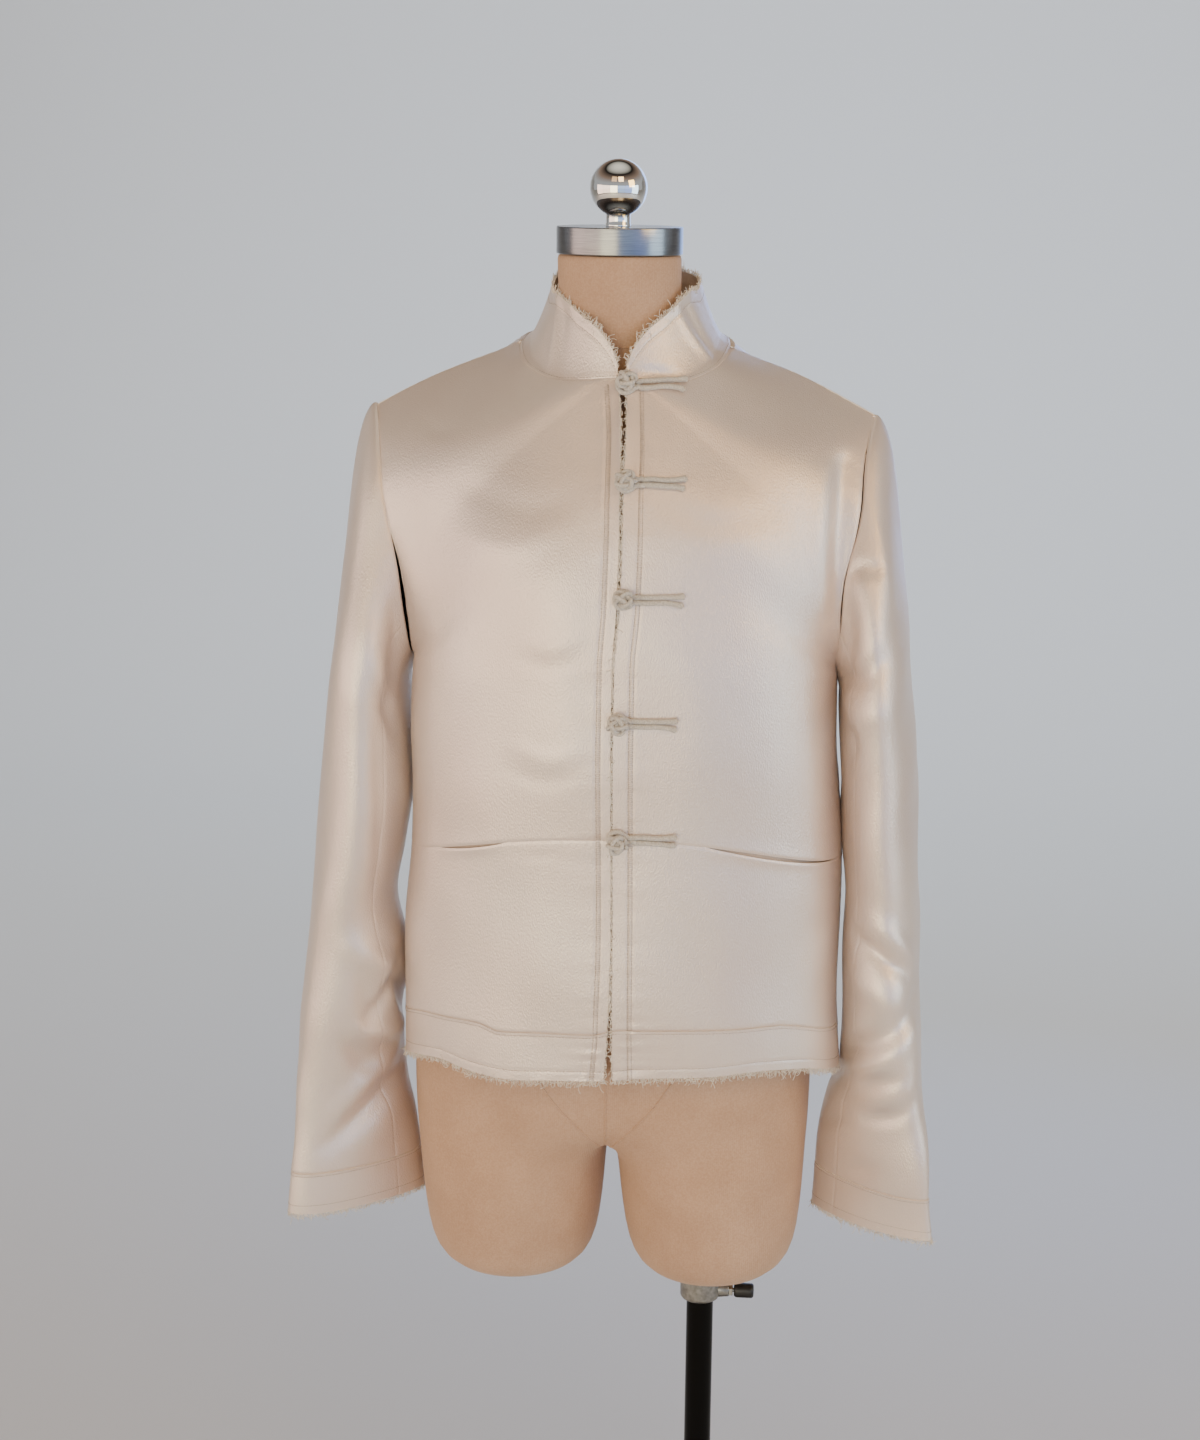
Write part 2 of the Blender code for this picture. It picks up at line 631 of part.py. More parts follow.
def build_facings(halves, made):
    """A strip behind each pocket opening, just inside the front's wall."""
    for side_name, (front, _) in halves.items():
        start, end, _ = POCKETS[side_name]
        net = Net()
        seam = front[POCKET_ROW]
        near = (np.abs(seam[:, 0]) > abs(start) - 0.012) & (np.abs(seam[:, 0]) < abs(end) + 0.006)
        near[-1] = False
        seam = seam[near]
        rows = [seam + np.array([0, 0, dz]) for dz in np.linspace(-FACING_DEPTH, 0.012, 4)]
        net.add("facing", np.array(rows), side_name == "right")
        normals = net.normals()
        inside = np.array(net.points) - (CLOTH + 0.0016) * normals
        solid = wall(inside, normals, net.pieces["facing"], 0.0012)
        place(f"pocket_facing_{side_name}", mesh_of("facing", *solid), made)


def cloth_finder(net, points):
    """Finds a point and normal of the left front, whose plane carries on past its edges."""
    fronts = [cell for name in ("front_left_upper", "front_left_lower") for cell in net.pieces[name]]
    tree = BVHTree.FromPolygons([Vector(p) for p in points], [list(map(int, c)) for c in fronts])

    def find(x, z):
        near = Vector((max(x, LOOP_SIDE_X), -1.0, min(z, LOOP_TOP_Z)))
        spot, normal, _, _ = tree.ray_cast(near, Vector((0.0, 1.0, 0.0)))
        y = spot.y - normal.z * (z - near.z) / normal.y
        return np.array([x, y, z]), np.array(normal)

    return find


def loop_path(find, x, z):
    """The loop's cord: out along the tail, round the knot's stalk, and back beside itself."""
    ring = KNOT_STALK + CORD_RADIUS + 0.0012
    apart = CORD_RADIUS + CLEAR / 4
    end = x + ring + TAIL_LENGTH
    tail = [(end, apart + 0.0012)] + [(end - step, apart) for step in (0.008, 0.017, 0.026, 0.035)]
    tail += [(x + ring + 0.0045, apart + 0.0004)]
    turn = [
        (x + ring * math.cos(a), ring * math.sin(a))
        for a in np.radians(np.linspace(48, 312, 8))
    ]
    route = tail + turn + [(px, -dz) for px, dz in reversed(tail)]
    path = []
    for px, dz in route:
        point, normal = find(px, z + dz)
        path.append(point + normal * CORD_ABOVE_CLOTH)
    return path


def build_fastenings(net, points, made):
    find = cloth_finder(net, points)
    for number, (x, z) in enumerate(zip(KNOTS["x"], KNOTS["z"]), 1):
        foot, normal = find(x, z)
        foot_height = 3 * CLEAR
        ball = [
            (KNOT_RADIUS * math.sin(a), KNOT_ABOVE_CLOTH + KNOT_RADIUS * math.cos(a) * 0.9)
            for a in np.radians(np.linspace(4, 152, 8))
        ]
        stalk = [(KNOT_STALK, foot_height + 0.003), (KNOT_STALK, foot_height), (0.0, foot_height)]
        profile = [(0.0, ball[0][1])] + ball + stalk
        knot = turned(f"knot_{number}", profile, foot, made, steps=10)
        knot.rotation_euler = Vector((0, 0, 1)).rotation_difference(Vector(normal)).to_euler()
        cord_loop(f"loop_{number}", loop_path(find, x, z), made)


def cord_loop(name, path, made):
    """A cord along the path as one closed tube."""
    data = bpy.data.curves.new(name, "CURVE")
    data.dimensions = "3D"
    spline = data.splines.new("POLY")
    spline.points.add(len(path) - 1)
    for spot, point in zip(spline.points, path):
        spot.co = (*point, 1.0)
    data.bevel_depth = CORD_RADIUS
    data.bevel_resolution = 1
    data.use_fill_caps = True
    data.materials.append(made)
    obj = bpy.data.objects.new(name, data)
    COLLECTION.objects.link(obj)
    return obj


def trunk_ring(z):
    """A level section of the trunk, from the centre front by way of +X."""
    half, front, back, fullness = (smooth(TRUNK, name, z) for name in list(TRUNK)[1:])
    angle = 2 * np.pi * np.arange(FORM_COLUMNS) / FORM_COLUMNS
    across = np.abs(np.sin(angle)) ** (2 / fullness) * np.sign(np.sin(angle))
    depth = np.abs(np.cos(angle)) ** (2 / fullness) * np.sign(np.cos(angle))
    middle = (front + back) / 2
    cleft = CLEFT_DEPTH * max(0.0, (CLEFT_TOP - z) / (CLEFT_TOP - CROTCH_Z)) ** 2
    depth = depth * (1 - cleft / 0.1 * np.exp(-((half * across / CLEFT_WIDTH) ** 2)))
    y = middle - (back - front) / 2 * depth
    return np.stack([FORM_X + half * across, y, np.full(FORM_COLUMNS, z)], axis=1)


def thigh_ring(side, z, spread):
    """A level section of one thigh; spread gives the angle of each point from the inner side."""
    middle, half, deep, back = (smooth(THIGH, name, z) for name in list(THIGH)[1:])
    if side > 0:
        middle += LEFT_THIGH_OUT * (CROTCH_Z - z) / (CROTCH_Z - THIGH["z"][0])
    x = FORM_X + side * (middle - half * np.cos(spread))
    return np.stack([x, back - deep * np.sin(spread), np.full(len(spread), z)], axis=1)


def build_form(made):
    heights = [0.760, 0.778, 0.800, 0.83, 0.87, 0.91, 0.955, 1.0, 1.045, 1.09, 1.135, 1.18, 1.22, 1.26]
    heights += [1.30, 1.33, 1.35, 1.364, 1.376, 1.388, 1.4, 1.412, 1.426, 1.446, 1.4854]
    rings = [trunk_ring(z) for z in heights]
    points, faces = [p for ring in rings for p in ring], []
    n = FORM_COLUMNS
    for r in range(len(rings) - 1):
        for c in range(n):
            d = (c + 1) % n
            faces.append([r * n + c, r * n + d, (r + 1) * n + d, (r + 1) * n + c])
    top = (len(rings) - 1) * n
    points.append(np.array([FORM_X, NECK_Y, heights[-1]]))
    faces += [[top + c, top + (c + 1) % n, len(points) - 1] for c in range(n)]
    bridge = []
    for y, z in ((-0.050, 0.7485), (0.0, CROTCH_Z), (0.058, 0.7495)):
        points.append(np.array([FORM_X, y, z]))
        bridge.append(len(points) - 1)
    half = n // 2
    for side in (1, -1):
        out = [(side * c) % n for c in range(half + 1)]
        loop = out + bridge[::-1]
        spread = np.concatenate(
            [np.radians(np.linspace(32, 328, half + 1)), np.radians([346, 360, 374])]
        )
        last = loop
        for z in THIGH["z"][::-1]:
            ring = thigh_ring(side, z, spread)
            start = len(points)
            points.extend(ring)
            new = list(range(start, start + len(spread)))
            for i in range(len(loop)):
                j = (i + 1) % len(loop)
                face = [last[i], new[i], new[j], last[j]]
                faces.append(face if side > 0 else face[::-1])
            last = new
        points.append(np.mean([points[i] for i in last], axis=0))
        tip = len(points) - 1
        for i in range(len(last)):
            face = [last[i], tip, last[(i + 1) % len(last)]]
            faces.append(face if side > 0 else face[::-1])
    form = place("dress_form", mesh_of("dress_form", points, faces), made)
    cut(form, cutter("socket", SOCKET_RADIUS, 0.60, SOCKET_TOP, (POLE_X, 0.0)))
    return form


def build_stand(steel, black, chrome, plastic):
    """The base, the pole with the inner rod that slides in it, and the clamp with its knob."""
    centre = (POLE_X, 0.0, 0.0)
    seat = POLE_RADIUS + CLEAR
    floor_of_seat = HUB_TOP - 0.035
    base = [(0.0, floor_of_seat), (seat, floor_of_seat), (seat, HUB_TOP), (HUB_RADIUS - 0.003, HUB_TOP)]
    base += [(HUB_RADIUS, HUB_TOP - 0.004), (HUB_RADIUS + 0.002, 0.018), (HUB_RADIUS + 0.010, BASE_THICK)]
    base += [(BASE_RADIUS - BASE_BEVEL, BASE_THICK), (BASE_RADIUS, BASE_THICK - BASE_BEVEL)]
    base += [(BASE_RADIUS, 0.0), (0.0, 0.0)]
    turned("stand_base", base, centre, black, steps=44)
    foot, bore_end = floor_of_seat + CLEAR, ROD_BOTTOM - 0.02
    pole = [(0.0, bore_end), (POLE_BORE, bore_end), (POLE_BORE, POLE_TOP)]
    pole += [(POLE_RADIUS, POLE_TOP), (POLE_RADIUS, foot), (0.0, foot)]
    turned("stand_pole", pole, centre, black, steps=24)
    rod = [(0.0, ROD_TOP), (ROD_RADIUS, ROD_TOP), (ROD_RADIUS, ROD_BOTTOM), (0.0, ROD_BOTTOM)]
    turned("inner_rod", rod, centre, chrome, steps=20)
    build_clamp(seat, steel, plastic)


def build_clamp(seat, steel, plastic):
    """The cast collar on the pole, with a boss at its side for the screw of the knob."""
    low = CLAMP_BOTTOM
    ring = [(seat, CLAMP_TOP), (CLAMP_RADIUS, CLAMP_TOP), (CLAMP_RADIUS, low + 0.004)]
    ring += [(CLAMP_RADIUS - 0.0012, low + 0.0012), (CLAMP_RADIUS - 0.004, low), (seat, low)]
    clamp = turned("pole_clamp", ring, (POLE_X, 0.0, 0.0), steel, steps=28, close=True)
    boss_end = POLE_X + CLAMP_RADIUS + BOSS_LENGTH
    level = (0.0, SCREW_Z)
    join = clamp.modifiers.new("Boss", "BOOLEAN")
    join.object = cutter("boss", BOSS_RADIUS, POLE_X + CLAMP_RADIUS - 0.003, boss_end, level, "X")
    join.operation = "UNION"
    way = SCREW_RADIUS + 0.0006
    cut(clamp, cutter("screw_way", way, POLE_X + seat - 0.002, boss_end + 0.002, level, "X"))
    tip = POLE_X + seat + 0.0008 - boss_end
    knob = [(0.0, KNOB_LENGTH), (0.0048, KNOB_LENGTH), (KNOB_RADIUS, KNOB_LENGTH - 0.0016)]
    knob += [(KNOB_RADIUS, 0.0026), (0.0050, 0.0006), (SCREW_RADIUS, 0.0006), (SCREW_RADIUS, tip)]
    knob += [(0.0, tip)]
    turned("clamp_knob", knob, (boss_end, *level), plastic, steps=14, axis="X")


def build_neck_fittings(chrome, brushed):
    """The metal cap on the neck, and the ball on its short stem."""
    rim = 0.001
    cap = [(0.0, CAP_TOP), (CAP_RADIUS - rim, CAP_TOP), (CAP_RADIUS, CAP_TOP - rim)]
    cap += [(CAP_RADIUS, CAP_BOTTOM + rim), (CAP_RADIUS - rim, CAP_BOTTOM), (0.0, CAP_BOTTOM)]
    turned("neck_cap", cap, (FORM_X, NECK_Y, 0.0), brushed, steps=48)
    stop = math.pi - math.asin(STEM_RADIUS / BALL_RADIUS)
    ball = [
        (BALL_RADIUS * math.sin(a), BALL_Z + BALL_RADIUS * math.cos(a))
        for a in np.linspace(0, stop, 11)
    ]
    foot = CAP_TOP + CLEAR
    turned("finial", ball + [(STEM_RADIUS, foot), (0.0, foot)], (BALL_X, NECK_Y, 0.0), chrome, steps=24)


def hang_on_axis():
    """Parent the form, and all that it wears, to an empty on the pole's axis, which it turns about."""
    axis = bpy.data.objects.new("form_swivel", None)
    axis.location = (POLE_X, 0.0, SOCKET_TOP)
    for obj in list(COLLECTION.objects):
        if not obj.name.startswith(("stand_", "inner_", "pole_", "clamp_")):
            obj.parent = axis
            obj.matrix_parent_inverse = Matrix.Translation(axis.location).inverted()
    COLLECTION.objects.link(axis)


def main():
    satin = material("champagne_satin", (0.70, 0.61, 0.53), 0.35)
    facing = material("satin_facing", (0.66, 0.52, 0.44), 0.45)
    cord = material("satin_cord", (0.70, 0.62, 0.55), 0.5)
    jersey = material("beige_jersey", (0.56, 0.38, 0.27), 0.85)
    steel = material("cast_zinc", (0.42, 0.42, 0.41), 0.45, 0.8)
    black = material("black_powder_coat", (0.012, 0.012, 0.013), 0.45)
    chrome = material("polished_chrome", (0.80, 0.80, 0.80), 0.06, 1.0)
    brushed = material("brushed_aluminium", (0.62, 0.63, 0.64), 0.3, 1.0)
    plastic = material("black_nylon", (0.015, 0.015, 0.016), 0.5)
    net, points, halves = build_cloth(satin)
    build_facings(halves, facing)
    build_fastenings(net, points, cord)
    build_form(jersey)
    build_neck_fittings(chrome, brushed)
    build_stand(steel, black, chrome, plastic)
    hang_on_axis()


for old in list(bpy.data.objects):
    bpy.data.objects.remove(old)
COLLECTION = bpy.data.collections.new("tang_jacket_on_form")
CUTTERS = bpy.data.collections.new("cutters")
bpy.context.scene.collection.children.link(COLLECTION)
bpy.context.scene.collection.children.link(CUTTERS)
main()
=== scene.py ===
# %% [markdown]
# # A raw-edged satin tang jacket on a dress form
# The object is a cropped jacket of heavy satin with a standing collar, knot buttons and frayed
# edges. It hangs on a limbless trouser form covered in jersey, on a telescopic pole stand.
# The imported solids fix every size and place. This script dresses them: thin cloth shells with
# their folds, sewing and loose threads, and a finish for every surface.

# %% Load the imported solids
import math

import bmesh
import bpy
import numpy as np
from mathutils import Matrix, Vector
from mathutils.bvhtree import BVHTree


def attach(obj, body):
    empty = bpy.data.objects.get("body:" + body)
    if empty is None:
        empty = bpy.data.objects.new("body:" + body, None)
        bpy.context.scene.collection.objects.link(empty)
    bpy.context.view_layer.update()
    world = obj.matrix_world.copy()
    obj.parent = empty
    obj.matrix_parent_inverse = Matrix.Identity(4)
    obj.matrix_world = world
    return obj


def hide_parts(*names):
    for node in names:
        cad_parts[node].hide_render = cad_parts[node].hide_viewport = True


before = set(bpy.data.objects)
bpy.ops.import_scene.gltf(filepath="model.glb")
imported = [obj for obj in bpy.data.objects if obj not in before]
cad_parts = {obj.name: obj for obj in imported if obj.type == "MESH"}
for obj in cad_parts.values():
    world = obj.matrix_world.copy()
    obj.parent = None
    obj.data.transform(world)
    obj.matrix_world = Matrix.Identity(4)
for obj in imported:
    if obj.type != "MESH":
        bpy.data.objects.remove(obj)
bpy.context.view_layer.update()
MM = 0.001
dice = np.random.default_rng(11)
SIDES = {"right": -1, "left": 1}  # the wearer's sides, by the sign of x

# %% [markdown]
# ## Camera and light
# The camera stands a little to the wearer's left, above the chest, and looks slightly down with
# a 66 mm lens. Satin shows little but what it mirrors, so the light is a row of soft panels
# level with the jacket, warm to the wearer's right and cool to the left. Small lamps above them
# reach the sloping chest. The sky round them is pale below and dark overhead, and one lamp
# lights the wall behind.

# %% Camera
CAMERA_SPOT = (0.17822, -2.14220, 1.57050)
TURN, DIP, ROLL = (math.radians(degrees) for degrees in (5.2, 12.3, 0.6))


def link(obj):
    bpy.context.scene.collection.objects.link(obj)
    return obj


level = Vector((math.cos(TURN), math.sin(TURN), 0.0))
ahead = Vector((-math.sin(TURN), math.cos(TURN), 0.0)) * math.cos(DIP)
ahead.z = -math.sin(DIP)
up = level.cross(ahead)
right = level * math.cos(ROLL) + up * math.sin(ROLL)
top = up * math.cos(ROLL) - level * math.sin(ROLL)
lens = bpy.data.cameras.new("lens")
lens.lens, lens.sensor_fit, lens.sensor_height = 66.0, "VERTICAL", 36.0
camera = link(bpy.data.objects.new("camera", lens))
pose = Matrix((right, top, -ahead)).transposed().to_4x4()
camera.matrix_world = Matrix.Translation(CAMERA_SPOT) @ pose
bpy.context.scene.camera = camera
print("camera", CAMERA_SPOT, "lens", lens.lens)


# %% Colours and shader nodes
def linear(code):
    """An sRGB hex colour as linear RGBA."""
    parts = [int(code[i : i + 2], 16) / 255 for i in (1, 3, 5)]
    return [c / 12.92 if c <= 0.04045 else ((c + 0.055) / 1.055) ** 2.4 for c in parts] + [1.0]


def node(tree, kind, settings=None, links=None):
    """Add a shader node, set its sockets, properties or colour stops, and link its inputs."""
    made = tree.nodes.new("ShaderNode" + kind)
    for name, value in (settings or {}).items():
        if name == "stops":
            elements = made.color_ramp.elements
            while len(elements) < len(value):
                elements.new(0.5)
            for element, (place, code) in zip(elements, value):
                element.position, element.color = place, linear(code)
        elif name in made.inputs:
            made.inputs[name].default_value = value
        else:
            setattr(made, name, value)
    for name, socket in (links or {}).items():
        tree.links.new(socket, made.inputs[name])
    return made


def finish(name, **sockets):
    """A material with a Principled shader, whose own sockets are set by name."""
    made = bpy.data.materials.new(name)
    made.use_nodes = True
    shader = made.node_tree.nodes["Principled BSDF"]
    for socket, value in sockets.items():
        shader.inputs[socket.replace("_", " ")].default_value = value
    return made, made.node_tree, shader


def surface(
    name, colours, scale, detail, relief, places=(0.3, 0.7), stretch=None, fine=None, **sockets
):
    """A finish that wanders between two tones, with a grain in relief.

    scale and fine count grains per metre; fine is given where the relief is finer than the tint.
    relief is the bump's strength and its depth in millimetres.
    """
    made, tree, shader = finish(name, **sockets)
    whole = place = node(tree, "TexCoord").outputs["Object"]
    if stretch:
        place = node(tree, "Mapping", {"Scale": stretch}, {"Vector": place}).outputs["Vector"]
    links = {"Vector": whole if fine else place}
    cloud = grain = node(tree, "TexNoise", {"Scale": scale, "Detail": detail}, links)
    if fine:
        grain = node(tree, "TexNoise", {"Scale": fine, "Detail": detail}, {"Vector": place})
    stops = tuple(zip(places, colours))
    tint = node(tree, "ValToRGB", {"stops": stops}, {"Fac": cloud.outputs["Fac"]})
    settings = {"Strength": relief[0], "Distance": relief[1] * MM}
    bump = node(tree, "Bump", settings, {"Height": grain.outputs["Fac"]})
    tree.links.new(tint.outputs["Color"], shader.inputs["Base Color"])
    tree.links.new(bump.outputs["Normal"], shader.inputs["Normal"])
    return made


# %% Light
JACKET_MIDDLE = Vector((0.0, 0.0, 1.15))
PANEL_DISTANCE = 4.0
PANELS = (
    # name, degrees round from the front, degrees up, size in metres, watts, colour
    ("front_left_panel", -15, 0, (2.1, 1.9), 56, "#FFF0C6"),
    ("left_panel", -45, 0, (2.1, 1.9), 31, "#FFDFC4"),
    ("far_left_panel", -75, 0, (2.1, 1.9), 34, "#FFDAC2"),
    ("front_right_panel", 15, 0, (2.1, 1.9), 13, "#A8CCFF"),
    ("right_panel", 45, 0, (2.1, 1.9), 15, "#98BAFF"),
    ("far_right_panel", 75, 0, (2.1, 1.9), 40, "#D8F2FF"),
    ("warm_side_lamp", 60, 20, (1.7, 1.7), 50, "#FFCD70"),
    ("high_left_lamp", -15, 38, (1.3, 1.3), 6, "#FFCD90"),
    ("high_right_lamp", 15, 38, (1.3, 1.3), 23, "#FFD294"),
)


def area_light(name, spot, target, size, power, colour):
    lamp = bpy.data.lights.new(name, "AREA")
    lamp.shape = "RECTANGLE"
    lamp.size, lamp.size_y = size
    lamp.energy = power
    lamp.color = linear(colour)[:3]
    obj = link(bpy.data.objects.new(name, lamp))
    obj.location = spot
    obj.rotation_euler = (Vector(target) - Vector(spot)).to_track_quat("-Z", "Y").to_euler()
    obj.visible_camera = False
    return obj


for name, turn, up, *look in PANELS:
    turn, up = math.radians(turn), math.radians(up)
    way = Vector((math.sin(turn) * math.cos(up), -math.cos(turn) * math.cos(up), math.sin(up)))
    area_light(name, JACKET_MIDDLE + way * PANEL_DISTANCE, JACKET_MIDDLE, *look)
area_light("back_lamp", (0.6, 2.2, 1.6), (0, 0, 1.1), (1.4, 1.4), 13, "#7CACFF")
wall_lamp = area_light("wall_lamp", (0.3, 2.4, 5.6), (0.3, 5.6, 1.2), (5.0, 1.2), 124, "#DAEAFF")
# A narrow spread keeps this lamp off the shoulders, as the slats of a real softbox do.
wall_lamp.data.spread = math.radians(110)

world = bpy.data.worlds.new("studio")
bpy.context.scene.world = world
world.use_nodes = True
sky = world.node_tree
direction = node(sky, "TexCoord").outputs["Generated"]
height = node(sky, "SeparateXYZ", links={"Vector": direction}).outputs["Z"]
DOME = ((0, "#B3B3B2"), (0.28, "#B3B3B2"), (0.55, "#927C6C"), (0.80, "#1C1917"), (1, "#FFF7E5"))
dome = node(sky, "ValToRGB", {"stops": DOME}, {"Fac": height}).outputs["Color"]
sky.links.new(dome, sky.nodes["Background"].inputs["Color"])
sky.nodes["Background"].inputs["Strength"].default_value = 1.0
print("lights", len(bpy.data.lights))

# %% [markdown]
# ## Mesh helpers
# Cloth, threads and turned metal cover the whole object. Each kind has one helper: a shell
# closes a grid of outer points into thin cloth, strands sweeps many fine threads at once, and
# turned spins a profile. Plain arrays are used, because every piece follows the same net.


# %% Pieces and lines
def mesh_piece(name, points, faces, materials, body="form", slot=None, replaces=None, kinds=None):
    """A smooth-shaded mesh that rides a body, and replaces a solid where one is named."""
    mesh = bpy.data.meshes.new(name)
    mesh.from_pydata(np.asarray(points).tolist(), [], [list(map(int, f)) for f in faces])
    for material in materials:
        mesh.materials.append(material)
    if kinds is not None:
        mesh.polygons.foreach_set("material_index", np.asarray(kinds, np.int32))
    mesh.shade_smooth()
    obj = link(bpy.data.objects.new(name, mesh))
    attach(obj, body)
    if replaces:
        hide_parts(replaces)
    return obj


def sharpen(obj, degrees):
    obj.data.set_sharp_from_angle(angle=math.radians(degrees))


def norm(vectors):
    return np.linalg.norm(vectors, axis=-1)


def unit(vectors):
    return vectors / np.maximum(norm(vectors)[..., None], 1e-12)


PLAIN = ("row", "share", "start", "end", "drop", "fullness", "skew")


def table(columns, text):
    """Rows of numbers under named columns, parted by bars; the first column rises.

    Lengths are in millimetres and become metres; the columns in PLAIN stay as they are.
    """
    rows = np.array([row.split() for row in text.split("|")], float)
    names = columns.split()
    return {name: rows[:, k] / (1 if name in PLAIN else 1000) for k, name in enumerate(names)}


def smooth(rows, name, at):
    """Read a column at one or many keys, along a curve that never swings past the rows."""
    x, y = next(iter(rows.values())), rows[name]
    slope = np.diff(y) / np.diff(x)
    tangent = np.concatenate([slope[:1], np.zeros(len(slope) - 1), slope[-1:]])
    same = slope[:-1] * slope[1:] > 0
    pair = slope[:-1] + slope[1:]
    tangent[1:-1][same] = 2 * (slope[:-1] * slope[1:])[same] / pair[same]
    i = np.clip(np.searchsorted(x, at) - 1, 0, len(x) - 2)
    width = x[i + 1] - x[i]
    t = np.clip((at - x[i]) / width, 0.0, 1.0)
    start = (1 + 2 * t) * (1 - t) ** 2 * y[i] + t * (1 - t) ** 2 * width * tangent[i]
    return start + t**2 * (3 - 2 * t) * y[i + 1] + t**2 * (t - 1) * width * tangent[i + 1]


def columns_of(rows, at):
    """Every column but the key, read at one key."""
    return (smooth(rows, name, at) for name in list(rows)[1:])


def run_of(line):
    """Metres from a line's first point to each of its points."""
    return np.concatenate([[0], np.cumsum(norm(np.diff(line, axis=0)))])


def read_at(run, values, at):
    """Values that belong to places along a line, read at other places."""
    return np.stack([np.interp(at, run, column) for column in values.T], axis=-1)


def along(line, shares):
    """Points of a polyline at shares of its length."""
    run = run_of(line)
    return read_at(run / run[-1], line, shares)


def curve(points, count):
    """A smooth line through a few points, as count points evenly spread."""
    points = np.asarray(points, float)
    padded = np.concatenate([[2 * points[0] - points[1]], points, [2 * points[-1] - points[-2]]])
    t = np.linspace(0, len(points) - 1, 12 * len(points))
    i = np.minimum(t.astype(int), len(points) - 2)
    f = (t - i)[:, None]
    a, b, c, d = (padded[i + k] for k in range(4))
    bend = (2 * a - 5 * b + 4 * c - d) * f**2 + (3 * b - a - 3 * c + d) * f**3
    return along(0.5 * (2 * b + (c - a) * f + bend), np.linspace(0, 1, count))


# %% Grids, threads and turned solids
def grid_quads(index):
    """Four-sided faces between the neighbours of a grid of point numbers."""
    return np.stack([index[:-1, :-1], index[:-1, 1:], index[1:, 1:], index[1:, :-1]], axis=-1)


def rings(centres, side, up, thick, sides):
    """A ring of points round each centre."""
    angle = (np.arange(sides) * 2 * np.pi / sides)[:, None]
    side, up = side[..., None, :], up[..., None, :]
    return centres[..., None, :] + thick * (np.cos(angle) * side + np.sin(angle) * up)


def ring_quads(index):
    """Faces between rings that follow each other."""
    turn = np.roll(index, -1, axis=-1)
    corners = (index[..., :-1, :], turn[..., :-1, :], turn[..., 1:, :], index[..., 1:, :])
    return np.stack(corners, axis=-1).reshape(-1, 4).tolist()


def strands(name, lines, radius, material, sides=3, **piece):
    """Sweep many threads at once: lines is threads x points x 3."""
    lines = np.asarray(lines, float)
    count, steps, _ = lines.shape
    ahead = unit(np.gradient(lines, axis=1))
    guide = np.where(np.abs(ahead[..., 2:]) < 0.8, [[[0.0, 0.0, 1.0]]], [[[1.0, 0.0, 0.0]]])
    side = unit(np.cross(ahead, guide))
    points = rings(lines, side, np.cross(ahead, side), radius, sides)
    index = np.arange(count * steps * sides).reshape(count, steps, sides)
    faces = ring_quads(index) + index[:, 0, ::-1].tolist() + index[:, -1].tolist()
    return mesh_piece(name, points.reshape(-1, 3), faces, [material], **piece)


def turned(name, profile, centre, material, steps=96, axis="Z", closed=False, **piece):
    """A solid of revolution from (radius, height) points that run down its outer side."""
    profile = np.array(profile, float)
    angle = np.arange(steps) * 2 * np.pi / steps
    across = [np.outer(profile[:, 0], turn(angle)) for turn in (np.cos, np.sin)]
    height = np.broadcast_to(profile[:, 1:], (len(profile), steps))
    points = np.stack([*across, height], axis=-1)
    if axis == "X":
        points = points[..., [2, 1, 0]] * [1, 1, -1]
    points = points + np.array(centre)
    index = np.arange(len(profile) * steps).reshape(len(profile), steps)
    walk = np.concatenate([index, index[:1]]) if closed else index
    turn = np.roll(walk, -1, axis=1)
    faces = np.stack([walk[:-1], walk[1:], turn[1:], turn[:-1]], axis=-1).reshape(-1, 4).tolist()
    if not closed:
        faces += [index[0].tolist(), index[-1, ::-1].tolist()]
    obj = mesh_piece(name, points.reshape(-1, 3), faces, [material], **piece)
    sharpen(obj, 38)
    return obj


def rounded(profile, radius, steps=4):
    """Round the inner corners of a profile, given in metres, with small arcs."""
    points = np.array(profile, float)
    out = [points[0]]
    for before, corner, after in zip(points, points[1:], points[2:]):
        reach = min(radius, 0.45 * norm(before - corner), 0.45 * norm(after - corner))
        start = corner + unit(before - corner) * reach
        end = corner + unit(after - corner) * reach
        for t in np.linspace(0, 1, steps):
            out.append((1 - t) ** 2 * start + 2 * t * (1 - t) * corner + t**2 * end)
    return np.array(out + [points[-1]])


# %% [markdown]
# ## The cloth finishes
# The jacket is duchess satin: filament yarn in a satin weave, so long floats lie side by side
# and mirror light softly. Polyester yarn gives a broad, slightly coloured highlight, which a
# small metallic share stands for. The wrong side shows the crossing yarns and is dull.
# Its floats are about 0.12 mm apart; the grain is drawn 0.9 mm apart, because a finer one would
# not show at all.

# %% Satin, its wrong side, and its threads
GRAIN_PITCH = 0.9 * MM


def satin(name, colours, roughness, metallic, shine):
    """Woven filament: broad clouds of tone and fine upright floats."""
    return surface(
        name, colours, 7.0, 2.0, (0.8, 0.5), (0.32, 0.68), (1.0, 1.0, 0.45), 1 / GRAIN_PITCH,
        Roughness=roughness, Metallic=metallic, IOR=1.54,
        Sheen_Weight=shine, Sheen_Roughness=0.45, Sheen_Tint=linear("#FFF1E2"),
    )


def yarn(name, light, dark, pitch):
    """Spun or filament thread: fine bands round it and a soft matte face."""
    look = {"Roughness": 0.68, "IOR": 1.5, "Sheen_Weight": 0.25}
    return surface(name, (dark, light), 1.0 / (pitch * MM), 2.0, (0.4, 0.4), **look)


